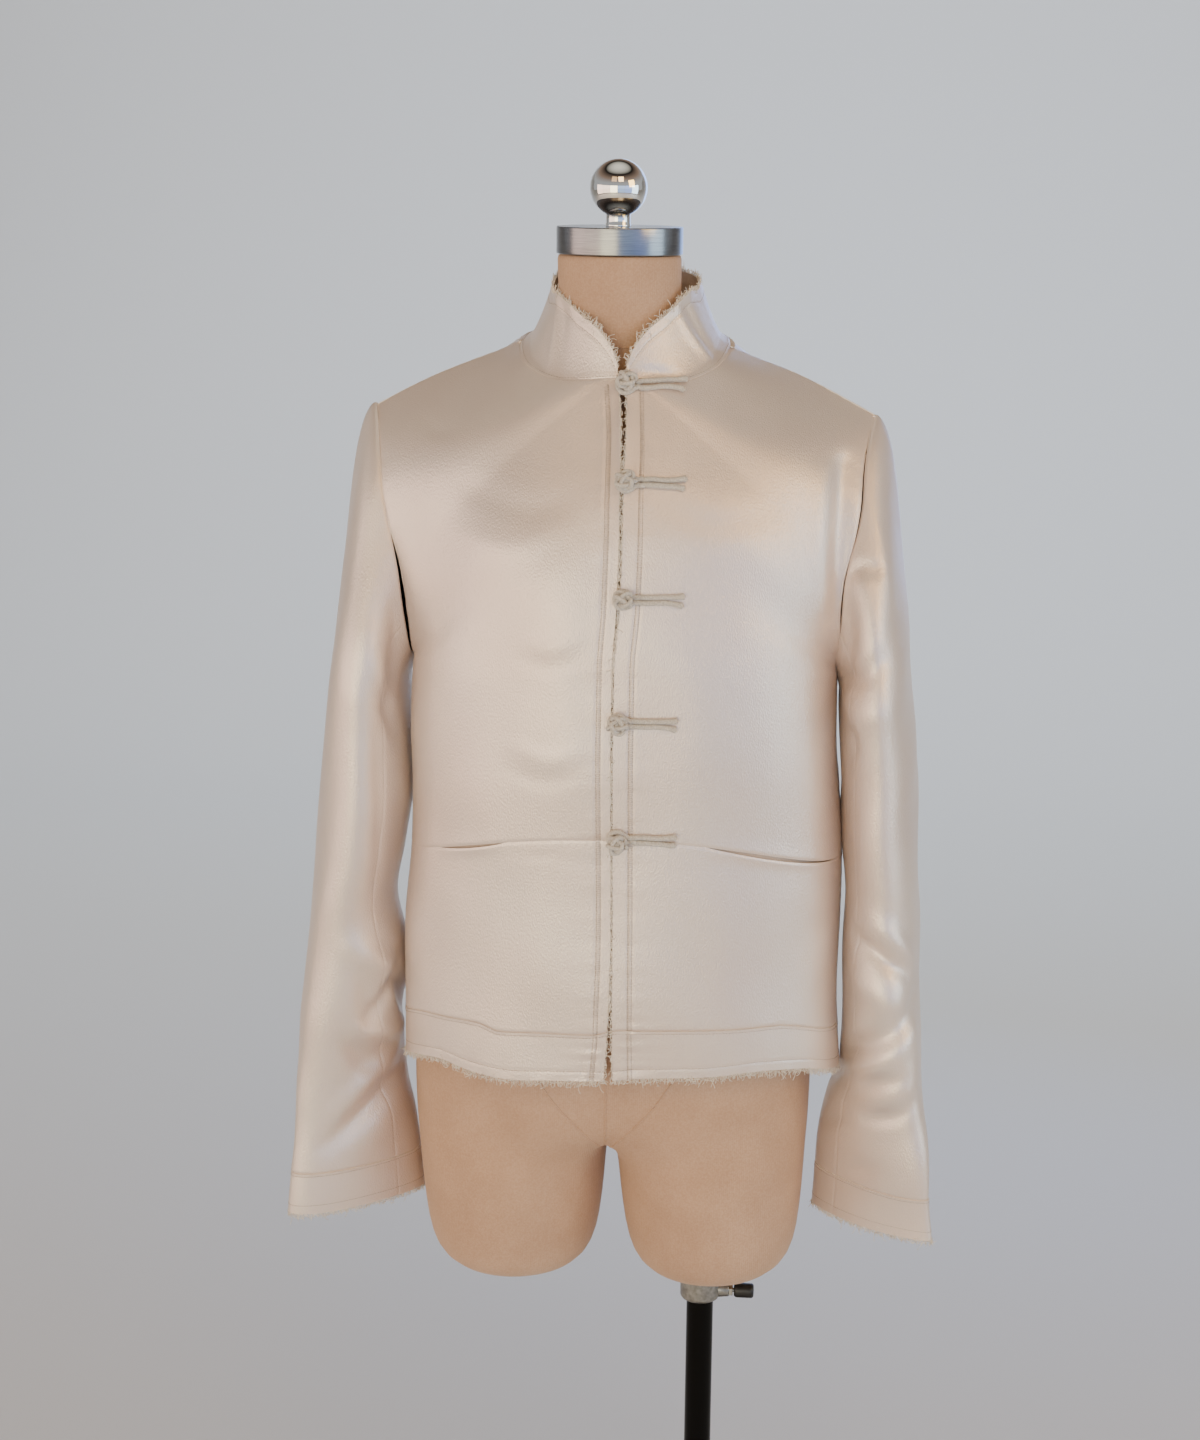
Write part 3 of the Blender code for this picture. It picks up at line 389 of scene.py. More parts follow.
SATIN = satin("duchess_satin_woven_polyester", ("#E6D6CE", "#EEE2DB"), 0.33, 0.50, 0.12)
SATIN_BACK = satin("satin_wrong_side", ("#CDBBAA", "#D6C6B6"), 0.72, 0.0, 0.15)
SATIN_EDGE = satin("satin_raw_edge", ("#E6DCD0", "#EFE7DD"), 0.80, 0.0, 0.20)
FRAY = yarn("frayed_polyester_filament", "#F7F1E8", "#E4D8C9", 6)
SEWING = yarn("sewing_thread_cream", "#BFAFA2", "#9C8D81", 2)
CORD = yarn("satin_rouleau_cord", "#D3CEC8", "#AFA9A2", 1.2)
print("cloth finishes", len(bpy.data.materials))

# %% [markdown]
# ## The net of the jacket
# A jacket is drafted as flat pieces whose seam edges match. Here the worn shape is drafted
# instead: tables give the centre line, the side seam, the neckline and the armhole, and each
# row of the body runs between them. The solids use the same tables, so the shells fit them.

# %% Body tables
# Rows count up from the hem at 0; the band's seam is row 2 and the pocket's seam is row 6.
UNDERARM_ROW, NECK_ROW, SHOULDER_ROW = 11, 16, 22
CLOSURE = table(
    "z right_edge left_edge y",
    "830 0.5 8.5 -130 | 870 3 7.8 -131 | 950 5.2 7.4 -132 | 1033 4.5 6.6 -133 | "
    "1100 3.8 6.2 -134.5 | 1170 4 6.4 -134.5 | 1220 6.8 10 -131.5 | 1270 7.4 10.8 -124 | "
    "1310 6.4 10.4 -112.5 | 1350 4.5 11.2 -96 | 1392 0.5 8.5 -71.5",
)
SPINE = table(
    "z y",
    "818 118 | 950 120 | 1100 121.5 | 1200 119.5 | 1270 114 | 1330 101 | 1380 84.5 | 1425.5 62",
)
SIDE = table(
    "z half_width lean",
    "815 183.5 6 | 870 182.6 5.5 | 940 181.1 6 | 1000 178.8 7.5 | 1050 176.7 6.3 | "
    "1100 175.3 3.8 | 1152 174.5 3.7 | 1250 182.7 3 | 1361 203.5 0 | 1430 203.5 0",
)
LEVELS = table(
    "row front back side",
    "0 832.5 818 816 | 2 872.5 857.5 852 | 6 1033 1003 1000 | 11 1213 1190 1152 | "
    "16 1392 1425.5 1300",
)
NECK_FRONT = table(
    "share x y z",
    "0 4 -71.5 1392 | 0.13 18 -70 1390.5 | 0.32 40 -63.5 1389.3 | 0.45 54 -56 1390.5 | "
    "0.58 67 -45.5 1394.5 | 0.7 77.5 -32 1400.5 | 0.84 83 -14 1407.5 | 1 85.6 8 1413.7",
)
NECK_BACK = table(
    "share x y z",
    "0 0 62 1425.5 | 0.24 28 60.5 1425 | 0.46 53 56 1423.5 | 0.65 72 46 1421 | 0.83 83 30 1418 | "
    "1 85.6 8 1413.7",
)
NECK_FRONT_ROWS = (0.0, 0.055, 0.14, 0.28, 0.50, 0.75, 1.0)
NECK_BACK_ROWS = (0.0, 0.19, 0.37, 0.54, 0.70, 0.86, 1.0)
ARMHOLE_FRONT = table(
    "share x y z",
    "0 174.5 0 1152 | 0.11 174 -26 1162 | 0.2 174.8 -43 1182 | 0.3 176.5 -53 1205 | "
    "0.39 179 -56 1228 | 0.48 182.7 -55 1248 | 0.58 188 -51 1270 | 0.7 192.6 -45 1295 | "
    "0.81 195 -34 1319 | 0.91 198.5 -18 1341.5 | 1 203.5 5 1361",
)
ARMHOLE_BACK = table(
    "share x y z",
    "0 174.5 0 1152 | 0.14 176 35 1165 | 0.25 180 53 1190 | 0.36 184 61 1215 | 0.47 188 63 1240 | "
    "0.59 192 60 1268 | 0.71 195 53 1295 | 0.83 197 42 1320 | 0.93 199.5 26 1342 | "
    "1 203.5 5 1361",
)
ARMHOLE_CROWDING = 1.12
FRONT_ROWS = table(
    "row start end drop swell fullness",
    "0 0 90 7 0 2.5 | 2 0 90 5 0 2.5 | 6 0 90 2.2 0 2.5 | 11 0 90 2 0 2.4 | 13 0 77 1.7 5 2.3 | "
    "16 0 64 1.15 22.5 2.3 | 17 6 63 1.3 19.5 2.2 | 19 17 60 1.2 12 2.1 | 22 33 56 1 0 2",
)
BACK_ROWS = table(
    "row start end drop swell fullness",
    "0 0 90 2 0 2.4 | 11 0 90 2 0 2.4 | 13 0 78 1.7 5 2.3 | 16 0 66 1.4 19 2.3 | "
    "19 20 60 1.15 10 2.1 | 22 33 56 1 0 2",
)
SHOULDER_BOW = 3.0 * MM
DENSE = np.concatenate([np.linspace(0, 0.9, 150), np.linspace(0.9, 1, 60)[1:]])
print("body rows", SHOULDER_ROW, "points along each", len(DENSE))


# %% One row of the body
def curve_point(rows, share, side):
    x, y, z = (smooth(rows, name, share) for name in "xyz")
    return np.array([side * x + smooth(SIDE, "lean", z), y, z])


def inner_point(part, side, row):
    """Where a row starts: the centre line, or the neckline above it."""
    up = row - NECK_ROW
    edge = "left_edge" if side > 0 else "right_edge"
    if part == "front" and up < 0:
        z = smooth(LEVELS, "front", row)
        return np.array([smooth(CLOSURE, edge, z), smooth(CLOSURE, "y", z), z])
    if part == "front":
        share = np.interp(up, range(len(NECK_FRONT_ROWS)), NECK_FRONT_ROWS)
        point = curve_point(NECK_FRONT, share, side)
        start = curve_point(NECK_FRONT, 0.0, side)[0]
        point[0] += (CLOSURE[edge][-1] - start) * max(0.0, 1 - up)
        return point
    if up < 0:
        z = smooth(LEVELS, "back", row)
        return np.array([smooth(SIDE, "lean", z), smooth(SPINE, "y", z), z])
    return curve_point(NECK_BACK, np.interp(up, range(len(NECK_BACK_ROWS)), NECK_BACK_ROWS), side)


def outer_point(part, side, row):
    """Where a row ends: the side seam, or the armhole above it."""
    if row > UNDERARM_ROW:
        armhole = ARMHOLE_FRONT if part == "front" else ARMHOLE_BACK
        share = ((row - UNDERARM_ROW) / (SHOULDER_ROW - UNDERARM_ROW)) ** ARMHOLE_CROWDING
        return curve_point(armhole, share, side)
    z = smooth(LEVELS, "side", row)
    return np.array([side * smooth(SIDE, "half_width", z) + smooth(SIDE, "lean", z), 0.0, z])


def body_row(part, side, row, shares):
    """Points of one row at shares of its length, from the middle to the side."""
    rows = FRONT_ROWS if part == "front" else BACK_ROWS
    start, end, drop, swell, fullness = columns_of(rows, row)
    inner, outer = inner_point(part, side, row), outer_point(part, side, row)
    angle = np.radians(start + (end - start) * DENSE)
    across = np.sin(angle) ** (2 / fullness)
    depth = np.clip(np.cos(angle), 0, 1) ** (2 / fullness)
    out = (across - across[0]) / (across[-1] - across[0])
    back = (depth - depth[-1]) / (depth[0] - depth[-1])
    straight = np.clip(row - SHOULDER_ROW + 1, 0, 1)
    back = back * (1 - straight) + (1 - out) * straight
    x = inner[0] + (outer[0] - inner[0]) * out
    y = outer[1] + (inner[1] - outer[1]) * back
    y += (-1 if part == "front" else 1) * swell * np.sin(np.pi * out**1.25)
    z = inner[2] + (outer[2] - inner[2]) * out**drop + SHOULDER_BOW * straight * np.sin(np.pi * out)
    return along(np.stack([x, y, z], axis=1), shares)


# %% [markdown]
# ## The sleeves
# A two-piece sleeve is a bent tube. Its cap is sewn round the armhole, so the cap's first ring
# is the armhole itself, and it eases into level rings further down. Each ring starts at the
# side next to the body and runs by way of the front.

# %% Sleeve tables and rings
BICEP_Z, CUFF_SEAM_Z, CUFF_HEM_Z = 1.125, 0.716, 0.681
CAP_START = 64 * MM
RIGHT_SLEEVE = table(
    "z inner outer y depth skew",
    "676 167 271.2 -28 88 57 | 716 169.8 269.7 -27 90 53 | 750 173.5 268.7 -25 94 47 | "
    "785 181 268.7 -23 101 38 | 820 184.6 266.8 -20 110 28 | 850 183.5 265.5 -18 118 20 | "
    "880 181.2 262.5 -16 124 14 | 910 181.5 260.2 -14 130 9 | 950 186.8 257 -12 138 4 | "
    "995 180 253 -9 147 0 | 1050 173.8 247.5 -6 157 0 | 1125 174.6 241 -4 164 0",
)
LEFT_SLEEVE = table(
    "z inner outer y depth skew",
    "676 168.8 274.5 -28 88 57 | 716 172.2 270.5 -27 90 53 | 750 175.2 267.8 -25 94 46 | "
    "785 181.2 264.5 -22.5 100 37 | 815 190 261.2 -22 108 26 | 850 191.5 258.3 -20 117 17 | "
    "900 190.6 255.5 -15 127 8 | 960 190.4 252.8 -11 138 2 | 1020 187.5 250 -8 150 0 | "
    "1070 185 247 -5 158 0 | 1125 183 241.2 -4 164 0",
)


def armhole_at(side, angle):
    """The armhole's point for an angle round the sleeve, from the underarm by way of the front."""
    rows = (SHOULDER_ROW - UNDERARM_ROW) / np.pi
    if angle <= np.pi:
        return outer_point("front", side, UNDERARM_ROW + rows * angle)
    return outer_point("back", side, SHOULDER_ROW - rows * (angle - np.pi))


def sleeve_ring(rows, side, z, angle):
    inner, outer, middle_y, depth, skew = columns_of(rows, z)
    x = (inner + outer) / 2 - (outer - inner) / 2 * np.cos(angle)
    y = middle_y - depth / 2 * np.sin(angle - math.radians(skew))
    return np.stack([side * x, y, np.full(len(angle), z)], axis=1)


def sleeve_surface(side, stations, angle):
    """Stations from 0 to 1 run down the cap, and beyond 1 they count metres below it."""
    rows = LEFT_SLEEVE if side > 0 else RIGHT_SLEEVE
    armhole = np.array([armhole_at(side, a) for a in np.mod(angle, 2 * np.pi)])
    top, below = (sleeve_ring(rows, side, z, angle) for z in (BICEP_Z, BICEP_Z - 0.01))
    fall = (below - top) / 0.01
    x, z = side * (0.65 - 0.35 * np.cos(angle)), -0.65 - 0.35 * np.cos(angle)
    out = np.stack([x, -0.6 * np.sin(angle), z], axis=1)
    reach = (armhole[:, 2] - BICEP_Z)[:, None]
    grid = []
    for t in stations:
        if t >= 1:
            grid.append(sleeve_ring(rows, side, BICEP_Z - (t - 1), angle))
            continue
        start = (1 + 2 * t) * (1 - t) ** 2 * armhole + t * (1 - t) ** 2 * CAP_START * out
        end = t**2 * (3 - 2 * t) * top + t**2 * (t - 1) * reach * fall
        grid.append(start + end)
    return np.array(grid)


# %% [markdown]
# ## Folds
# A fold is a soft ridge or trough along a line. It could be simulated, but a simulated jacket
# never falls into the folds of a given one, so each main fold is listed one by one: a line on the
# cloth, a height and a width in millimetres. A ridge sinks a little at its sides, because the
# cloth for it comes from there.


# %% Fold fields
SIDE_SINK = 0.35


def folds(text, units=(1000, 1000)):
    """Folds parted by bars; each is a height, a width and pairs of numbers along its line."""
    rows = [[float(number) for number in row.split()] for row in text.split("|")]
    pairs = [[(a / units[0], b / units[1]) for a, b in zip(row[2::2], row[3::2])] for row in rows]
    return [(row[0], row[1], line) for row, line in zip(rows, pairs)]


def fold(points, line, height, width, fade=0.6):
    """Height along the normal of one fold over a grid of points."""
    line = curve(line, 14)
    gap = np.full(points.shape[:-1], 1e9)
    share = np.zeros(points.shape[:-1])
    for i, (a, b) in enumerate(zip(line, line[1:])):
        ab = b - a
        t = np.clip(((points - a) @ ab) / (ab @ ab), 0, 1)
        far = norm(points - (a + t[..., None] * ab))
        closer = far < gap
        gap = np.where(closer, far, gap)
        share = np.where(closer, (i + t) / (len(line) - 1), share)
    bell = (gap / (width * MM)) ** 2
    profile = (1 - SIDE_SINK * bell) * np.exp(-bell)
    return height * MM * profile * np.sin(np.pi * np.clip(0.08 + 0.84 * share, 0, 1)) ** fade


def waves(points, seed, size, height):
    """Slow swells of the cloth, the same wherever two pieces meet."""
    random = np.random.default_rng(seed)
    total = np.zeros(points.shape[:-1])
    for _ in range(7):
        way = unit(random.normal(size=3) * [1, 1, 0.6])
        turn = points @ way * 2 * np.pi / (size * random.uniform(0.7, 1.5))
        total += np.sin(turn + random.uniform(0, 6.3))
    return height * MM * total / 7**0.5


def grid_normals(grid, flip, split=None):
    """Outward normals of a grid; split is the first column of its second half, if it has two."""
    if split is not None:
        halves = grid[:, :split], grid[:, split:]
        return np.concatenate([grid_normals(half, flip) for half in halves], axis=1)
    normals = np.cross(np.gradient(grid, axis=1), np.gradient(grid, axis=0))
    return unit(normals) * (-1 if flip else 1)


def edge_distance(grid):
    """Metres from each point to the first row, the last row, the first column and the last."""
    down = np.pad(norm(np.diff(grid, axis=0)).cumsum(axis=0), ((1, 0), (0, 0)))
    over = np.pad(norm(np.diff(grid, axis=1)).cumsum(axis=1), ((0, 0), (1, 0)))
    return {"first": down, "last": down[-1:] - down, "start": over, "end": over[:, -1:] - over}


# %% [markdown]
# ## Cloth shells
# Each cut piece is its own shell, about 1 mm thick. Along a seam the cloth turns in to its
# sewing, so the shell dips within 2 mm of the edge and puckers a little further in. A raw edge
# stays flat.

# %% Cloth shells
CLOTH = 1.1 * MM
SEAM_GAP = -0.12 * MM
SEAM_REACH = 1.2 * MM
PUCKER, PUCKER_REACH, PUCKER_PITCH = 0.16 * MM, 8 * MM, 12 * MM
NEAR_SEAM = np.array([0.0, 0.5, 1.1, 1.9, 3.0, 4.6]) * MM
OUTER, OPEN_ROWS, SHEETS, TRIMMINGS = {}, {}, {}, {}


def spread(length, step):
    """Sample places along a length, crowded next to both ends, as shares of it."""
    middle = np.linspace(NEAR_SEAM[-1], length - NEAR_SEAM[-1], max(int(length / step), 3))
    return np.concatenate([NEAR_SEAM[:-1], middle, length - NEAR_SEAM[-2::-1]]) / length


def sew(grid, seams, seed):
    """How far seams pull the cloth in, with puckers; seams gives a depth in mm for each side."""
    random = np.random.default_rng(seed)
    gaps = edge_distance(grid)
    shift = np.zeros(grid.shape[:-1])
    for name, depth in seams.items():
        gap = gaps[name]
        run = gaps["start" if name in ("first", "last") else "first"] * 2 * np.pi
        ripple = np.sin(run / PUCKER_PITCH + random.uniform(0, 6.3))
        ripple += 0.7 * np.sin(run / (PUCKER_PITCH * 2.7) + random.uniform(0, 6.3))
        shift -= depth * MM * np.exp(-((gap / SEAM_REACH) ** 2))
        shift += PUCKER * ripple * np.exp(-gap / PUCKER_REACH) * np.minimum(gap / (2 * MM), 1)
    return shift


def draw_back(grid, normals, shift):
    """Move the outline within the surface, so that sewn edges meet, and then add the relief."""
    out = grid.copy()
    over, down = (unit(np.gradient(grid, axis=axis)) for axis in (1, 0))
    out[:, 0] += SEAM_GAP * over[:, 0]
    out[:, -1] -= SEAM_GAP * over[:, -1]
    out[0] += SEAM_GAP * down[0]
    out[-1] -= SEAM_GAP * down[-1]
    return out + normals * shift[..., None]


def loose_edges(faces):
    """The directed edges that only one face has."""
    edges = np.concatenate([faces[:, [i, (i + 1) % 4]] for i in range(4)])
    base = int(faces.max()) + 1
    forward, backward = edges[:, 0] * base + edges[:, 1], edges[:, 1] * base + edges[:, 0]
    return edges[~np.isin(forward, backward)]


def shell(name, outer, normals, flip, flat, thick=CLOTH, hole=None):
    """Close a grid of outer points into thin cloth and measure its flat net."""
    count = outer.shape[0] * outer.shape[1]
    quads = grid_quads(np.arange(count).reshape(outer.shape[:2]))
    keep = np.ones(quads.shape[:2], bool)
    if hole is not None:
        keep[hole[0] :, hole[1]] = False
    quads = quads[keep]
    rim = loose_edges(quads)
    sides = np.stack([rim[:, 1], rim[:, 0], rim[:, 0] + count, rim[:, 1] + count], axis=-1)
    faces = np.concatenate([quads, quads[:, ::-1] + count, sides])
    if flip:
        faces = faces[:, ::-1]
    kinds = np.repeat([0, 1, 2], [len(quads), len(quads), len(sides)])
    points = np.concatenate([outer.reshape(-1, 3), (outer - thick * normals).reshape(-1, 3)])
    finishes = [SATIN, SATIN_BACK, SATIN_EDGE]
    obj = mesh_piece(
        f"satin_{name}", points, faces, finishes, slot="champagne_satin", replaces=name, kinds=kinds
    )
    sharpen(obj, 60)
    down, over = np.diff(flat, axis=0), np.diff(flat, axis=1)
    area = (norm(np.cross(down[:, :-1], over[:-1])) * keep).sum()
    width, length = norm(over).sum(axis=1).max(), norm(down).sum(axis=0).max()
    SHEETS[name] = (obj, round(float(width), 3), round(float(length), 3), float(area))
    OUTER[name] = (outer, normals)


# %% [markdown]
# ## The fronts and the back
# Each front is cut in two at the seam that holds its pocket, over a hem band. The back is one
# piece with no centre seam, so both halves of the net are joined before it becomes a shell.

# %% Folds of the body
FRONT_FOLDS = folds(
    "-6.5 9 180 1325 179.5 1275 176 1205 | 1.6 9 162 1320 161 1270 162 1215 | "
    "-3 10 -184 1255 -177 1225 -168 1180 | 1.6 22 -34 1240 -36 1150 -30 1070 | "
    "-1.5 22 -82 1220 -86 1130 -80 1060 | 1.2 26 66 1200 72 1110 70 1050 | "
    "-1 12 -30 1300 -70 1292 -118 1306 | 0.9 12 -40 1276 -80 1262 -120 1270 | "
    "-1 12 40 1300 78 1284 120 1288 | 0.9 6 -21 1196 -40 1188 -62 1191 | "
    "-0.9 6 -21 1178 -45 1171 -70 1176 | 0.9 6 -20 1105 -45 1098 -74 1106 | "
    "-0.9 6 -20 1086 -50 1080 -80 1087 | -0.9 7 -158 1352 -144 1346 -130 1350 | "
    "-0.7 8 92 1368 104 1362 118 1366 | -0.5 2.4 -78 1017.5 -50 1018 -20 1016 | "
    "1.1 20 -124 990 -126 930 -130 880 | -1 20 -72 980 -74 930 -70 880 | "
    "1.2 22 95 990 100 930 104 880"
)
BACK_FOLDS = folds(
    "-3.5 15 -160 1270 -152 1200 -158 1110 | 3 17 -128 1290 -122 1200 -130 1080 | "
    "-2.5 18 -90 1300 -86 1210 -92 1100 | -3 14 163 1280 157 1210 160 1120 | "
    "2.8 18 130 1300 126 1220 134 1090 | 2.2 22 40 1200 46 1100 40 990 | "
    "-2.2 22 -10 1180 -14 1080 -6 980 | 2 20 -60 1080 -66 1000 -70 900 | "
    "-2.2 20 85 1070 90 980 96 890 | -1.6 9 -70 1396 0 1388 72 1397 | "
    "2 14 -100 1340 -60 1318 -10 1312 | 1.8 14 110 1345 70 1322 20 1316"
)
HEM_WAVE = table(
    "x dz",
    "-190 0 | -165 3 | -140 4 | -109 -3 | -79 -6 | -40 -3 | 0 -1 | 30 3 | 90 6 | 126 9 | 158 7 | "
    "195 0",
)
BAND_WAVE = table(
    "x dz",
    "-190 0 | -165 7 | -136 3 | -104 0 | -85 -6 | -50 -4 | -10 -3 | 13 3 | 106 5 | 145 7 | 184 3 | "
    "195 0",
)
HEM_TOP_Z, BAND_Z, WAVE_REACH = 0.856, 0.868, 30 * MM


def body_drape(part, points):
    """Heights of every fold over a stretch of the body's net."""
    total = waves(points, 5, 0.17, 1.5) + waves(points, 9, 0.085, 0.6)
    flat = points * [1, 0, 1]
    for height, width, line in FRONT_FOLDS if part == "front" else BACK_FOLDS:
        total += fold(flat, [(x, 0.0, z) for x, z in line], height, width)
    return total


def settle_hem(points):
    """Let the hem and the band's seam wander as they hang."""
    z = points[..., 2]
    hem = np.clip((HEM_TOP_Z - z) / WAVE_REACH, 0, 1)
    band = np.clip(1 - np.abs(z - BAND_Z) / WAVE_REACH, 0, 1) * (1 - hem)
    lift = smooth(HEM_WAVE, "dz", points[..., 0]) * hem
    lift += smooth(BAND_WAVE, "dz", points[..., 0]) * band
    points[..., 2] += lift * np.clip(-points[..., 1] / 0.05, 0, 1)
    return points


# %% Rows and columns of each body piece
BODY_STEP = 4.2 * MM
HALF_ROUND = 0.235
PLACKET = 17.5 * MM
PLACKET_PUCKER, GROOVE, GROOVE_WIDTH = 0.22 * MM, -0.4 * MM, 0.9 * MM
PLACKET_ROWS = {"right": (8.0, 11.5), "left": (12.0, 15.5)}
ROW_LENGTHS = {(0, 2): 0.040, (2, 6): 0.158, (6, 22): 0.47, (2, 22): 0.62}
POCKETS = {"right": (-0.080, -0.137, 0.0024), "left": (0.080, 0.183, 0.0032)}
LIP_REACH, LOWER_LIP, UPPER_LIP = 7 * MM, 1.2 * MM, 0.5 * MM
EASE_PASSES, EASE_MARGIN, EASE_ROWS = 90, 24 * MM, 3.2
NECK_STEPS = np.linspace(NECK_ROW, SHOULDER_ROW, 25)
NECKLINE = np.array(
    [inner_point(p, s, row) for p in ("front", "back") for s in (-1, 1) for row in NECK_STEPS]
)


def body_net(part, side, first, last):
    """A piece's points, row by row, and the number of each row."""
    step = BODY_STEP if last > 2 else 2 * MM
    rows = first + (last - first) * spread(ROW_LENGTHS[(first, last)], step)
    shares = spread(HALF_ROUND, BODY_STEP)
    if part == "front":
        placket = np.arange(0, PLACKET, 1.0 * MM) / HALF_ROUND
        shares = np.concatenate([placket, shares[shares > PLACKET / HALF_ROUND]])
    return np.array([body_row(part, side, row, shares) for row in rows]), rows


def ease(grid, normals, rows, gaps, sides):
    """Relax the net across the rows that start at the neckline, away from its own edges."""
    from_neck = np.min([norm(grid - point) for point in NECKLINE], axis=0)
    edge = np.min([from_neck] + [gaps[side] for side in sides], axis=0)
    near = np.exp(-(((rows - NECK_ROW) / EASE_ROWS) ** 2))[:, None]
    free = near * np.clip(edge / EASE_MARGIN, 0, 1)
    for _ in range(EASE_PASSES):
        step = np.zeros_like(grid)
        around = grid[2:, 1:-1] + grid[:-2, 1:-1] + grid[1:-1, 2:] + grid[1:-1, :-2]
        step[1:-1, 1:-1] = around / 4 - grid[1:-1, 1:-1]
        grid = grid + normals * (np.sum(step * normals, axis=-1) * free)[..., None]
    return grid


def stitch_groove(gap, insets):
    """The dent that a row of stitches presses into the cloth."""
    return sum(GROOVE * np.exp(-(((gap - inset * MM) / GROOVE_WIDTH) ** 2)) for inset in insets)


def finish_piece(name, net, flip, seams, part, seed, lip=None, stitch_rows=(), split=None):
    """Fold, sew and close one piece of the body; stitch_rows are insets from its sides."""
    flat, rows = net
    grid = settle_hem(flat.copy())
    normals = grid_normals(grid, flip, split)
    gaps = edge_distance(grid)
    if rows[-1] > NECK_ROW:
        sides = ("last", "end", "first") if split is None else ("last", "start", "end", "first")
        grid = ease(grid, normals, rows, gaps, sides)
        normals = grid_normals(grid, flip, split)
    below_neck = (rows <= NECK_ROW)[:, None]
    shift = body_drape(part, grid) + sew(grid, seams, seed)
    random = np.random.default_rng(seed + 100)
    for side, insets in stitch_rows:
        gap = gaps[side]
        run = gaps["first" if side == "start" else "start"] * 2 * np.pi / MM
        ripple = sum(np.sin(run / pitch + random.uniform(0, 6.3)) for pitch in (9.0, 13.0, 31.0))
        beside = np.exp(-np.abs(gap - max(insets) * MM) / (9 * MM)) * np.minimum(gap / (4 * MM), 1)
        shift += (stitch_groove(gap, insets) + PLACKET_PUCKER * ripple * beside) * below_neck
    neck = over = gaps["start"]
    if split is not None:
        neck = np.minimum(*(abs(over - over[:, [column]]) for column in (split - 1, split)))
    shift -= 0.6 * MM * np.exp(-((neck / SEAM_REACH) ** 2)) * ~below_neck
    outer = draw_back(grid, normals, shift)
    if lip is not None:
        outer = lip(outer, normals)
    OPEN_ROWS[name] = int(below_neck.sum())
    hole = None if split is None else (OPEN_ROWS[name] - 1, split - 1)
    shell(name, outer, grid_normals(outer, flip, split), flip, flat, hole=hole)


def pocket_mouth(side_name, lower):
    """The pocket's lower lip sags and rolls, and its upper lip lies straight."""
    start, end, sag = POCKETS[side_name]

    def shape(outer, normals):
        share = (outer[-1 if lower else 0, :, 0] - start) / (end - start)
        arch = np.sin(np.pi * np.clip(share, 0, 1)) ** 0.7
        gap = edge_distance(outer)["last" if lower else "first"]
        near = np.exp(-((gap / LIP_REACH) ** 2)) * np.where((share > 0) & (share < 1), arch, 0)
        outer[..., 2] -= sag * near * lower
        outer += normals * ((LOWER_LIP if lower else UPPER_LIP) * near)[..., None]
        return outer

    return shape


# %% The body's pieces
def front_parts(side_name):
    """The names of one front's pieces, from the hem up."""
    return [f"hem_band_front_{side_name}", f"front_{side_name}_lower", f"front_{side_name}_upper"]


for side_name, side in SIDES.items():
    band, lower, upper = front_parts(side_name)
    pieces = (
        (band, 0, 2, {"last": -0.2, "end": 0.5}, None),
        (lower, 2, 6, {"first": 1.1, "last": 0.5, "end": 0.5}, pocket_mouth(side_name, True)),
        (upper, 6, 22, {"first": 0.5, "last": 0.7, "end": 0.4}, pocket_mouth(side_name, False)),
    )
    for seed, (name, first, last, seams, lip) in enumerate(pieces):
        rows = [("start", PLACKET_ROWS[side_name])] + ([("first", (8.0,))] if first == 0 else [])
        net = body_net("front", side, first, last)
        finish_piece(name, net, side < 0, seams, "front", 10 + seed + 3 * side, lip, rows)
for name, first, last, seams in (
    ("hem_band_back", 0, 2, {"last": -0.2, "start": 0.25, "end": 0.25}),
    ("back", 2, 22, {"first": 1.1, "last": 0.7, "start": 0.25, "end": 0.25}),
):
    (left, rows), (right, _) = (body_net("back", side, first, last) for side in (1, -1))
    net = np.concatenate([right[:, ::-1], left[:, 1:]], axis=1)
    band = first == 0
    stitch_rows, split = ([("first", (8.0,))], None) if band else ([], right.shape[1])
    finish_piece(name, (net, rows), True, seams, "back", 40 + last, None, stitch_rows, split)
print("body pieces", list(OUTER))

# %% [markdown]
# ## Sleeve folds
# The sleeves hang from a wide shoulder, so the cloth drags from the armhole, creases at the
# elbow and breaks again above the cuff. The wearer's right sleeve has the deeper folds.

# %% Sleeve folds
# Each line here is pairs of a height in millimetres and degrees round the sleeve.
RIGHT_FOLDS = folds(
    "2.4 9 1285 72 1240 46 1205 18 | -2.2 8 1262 44 1238 28 1215 12 | "
    "-3.6 10 1222 66 1200 58 1165 46 1125 38 | 2 10 1180 78 1150 58 1128 34 | "
    "-2.6 8 1132 52 1112 42 1095 30 | -1.3 6 1100 62 1030 57 966 52 | "
    "1.2 12 1080 84 1020 80 960 78 | 4 9 918 76 900 52 886 26 | -4.4 7 893 22 873 42 852 60 | "
    "-2.6 8 890 70 868 66 850 62 | -7 9 888 30 862 12 840 -12 | 3.8 8 843 68 834 40 830 6 | "
    "-3.2 8 832 84 815 72 803 56 | 3.2 9 812 26 797 58 772 96 | -4 8 792 18 775 60 742 108 | "
    "1.8 12 768 30 752 56 735 80 | -2.4 10 1230 300 1180 285 1120 290 | "
    "2.6 10 1200 250 1120 262 1040 268 | 3.4 9 960 212 935 250 915 292 | "
    "-4 8 935 205 905 250 888 300 | 2.8 9 880 220 860 262 850 310 | -3 8 840 200 815 245 800 300 | "
    "-1.6 12 900 140 850 150 800 152",
    (1000, 1),
)
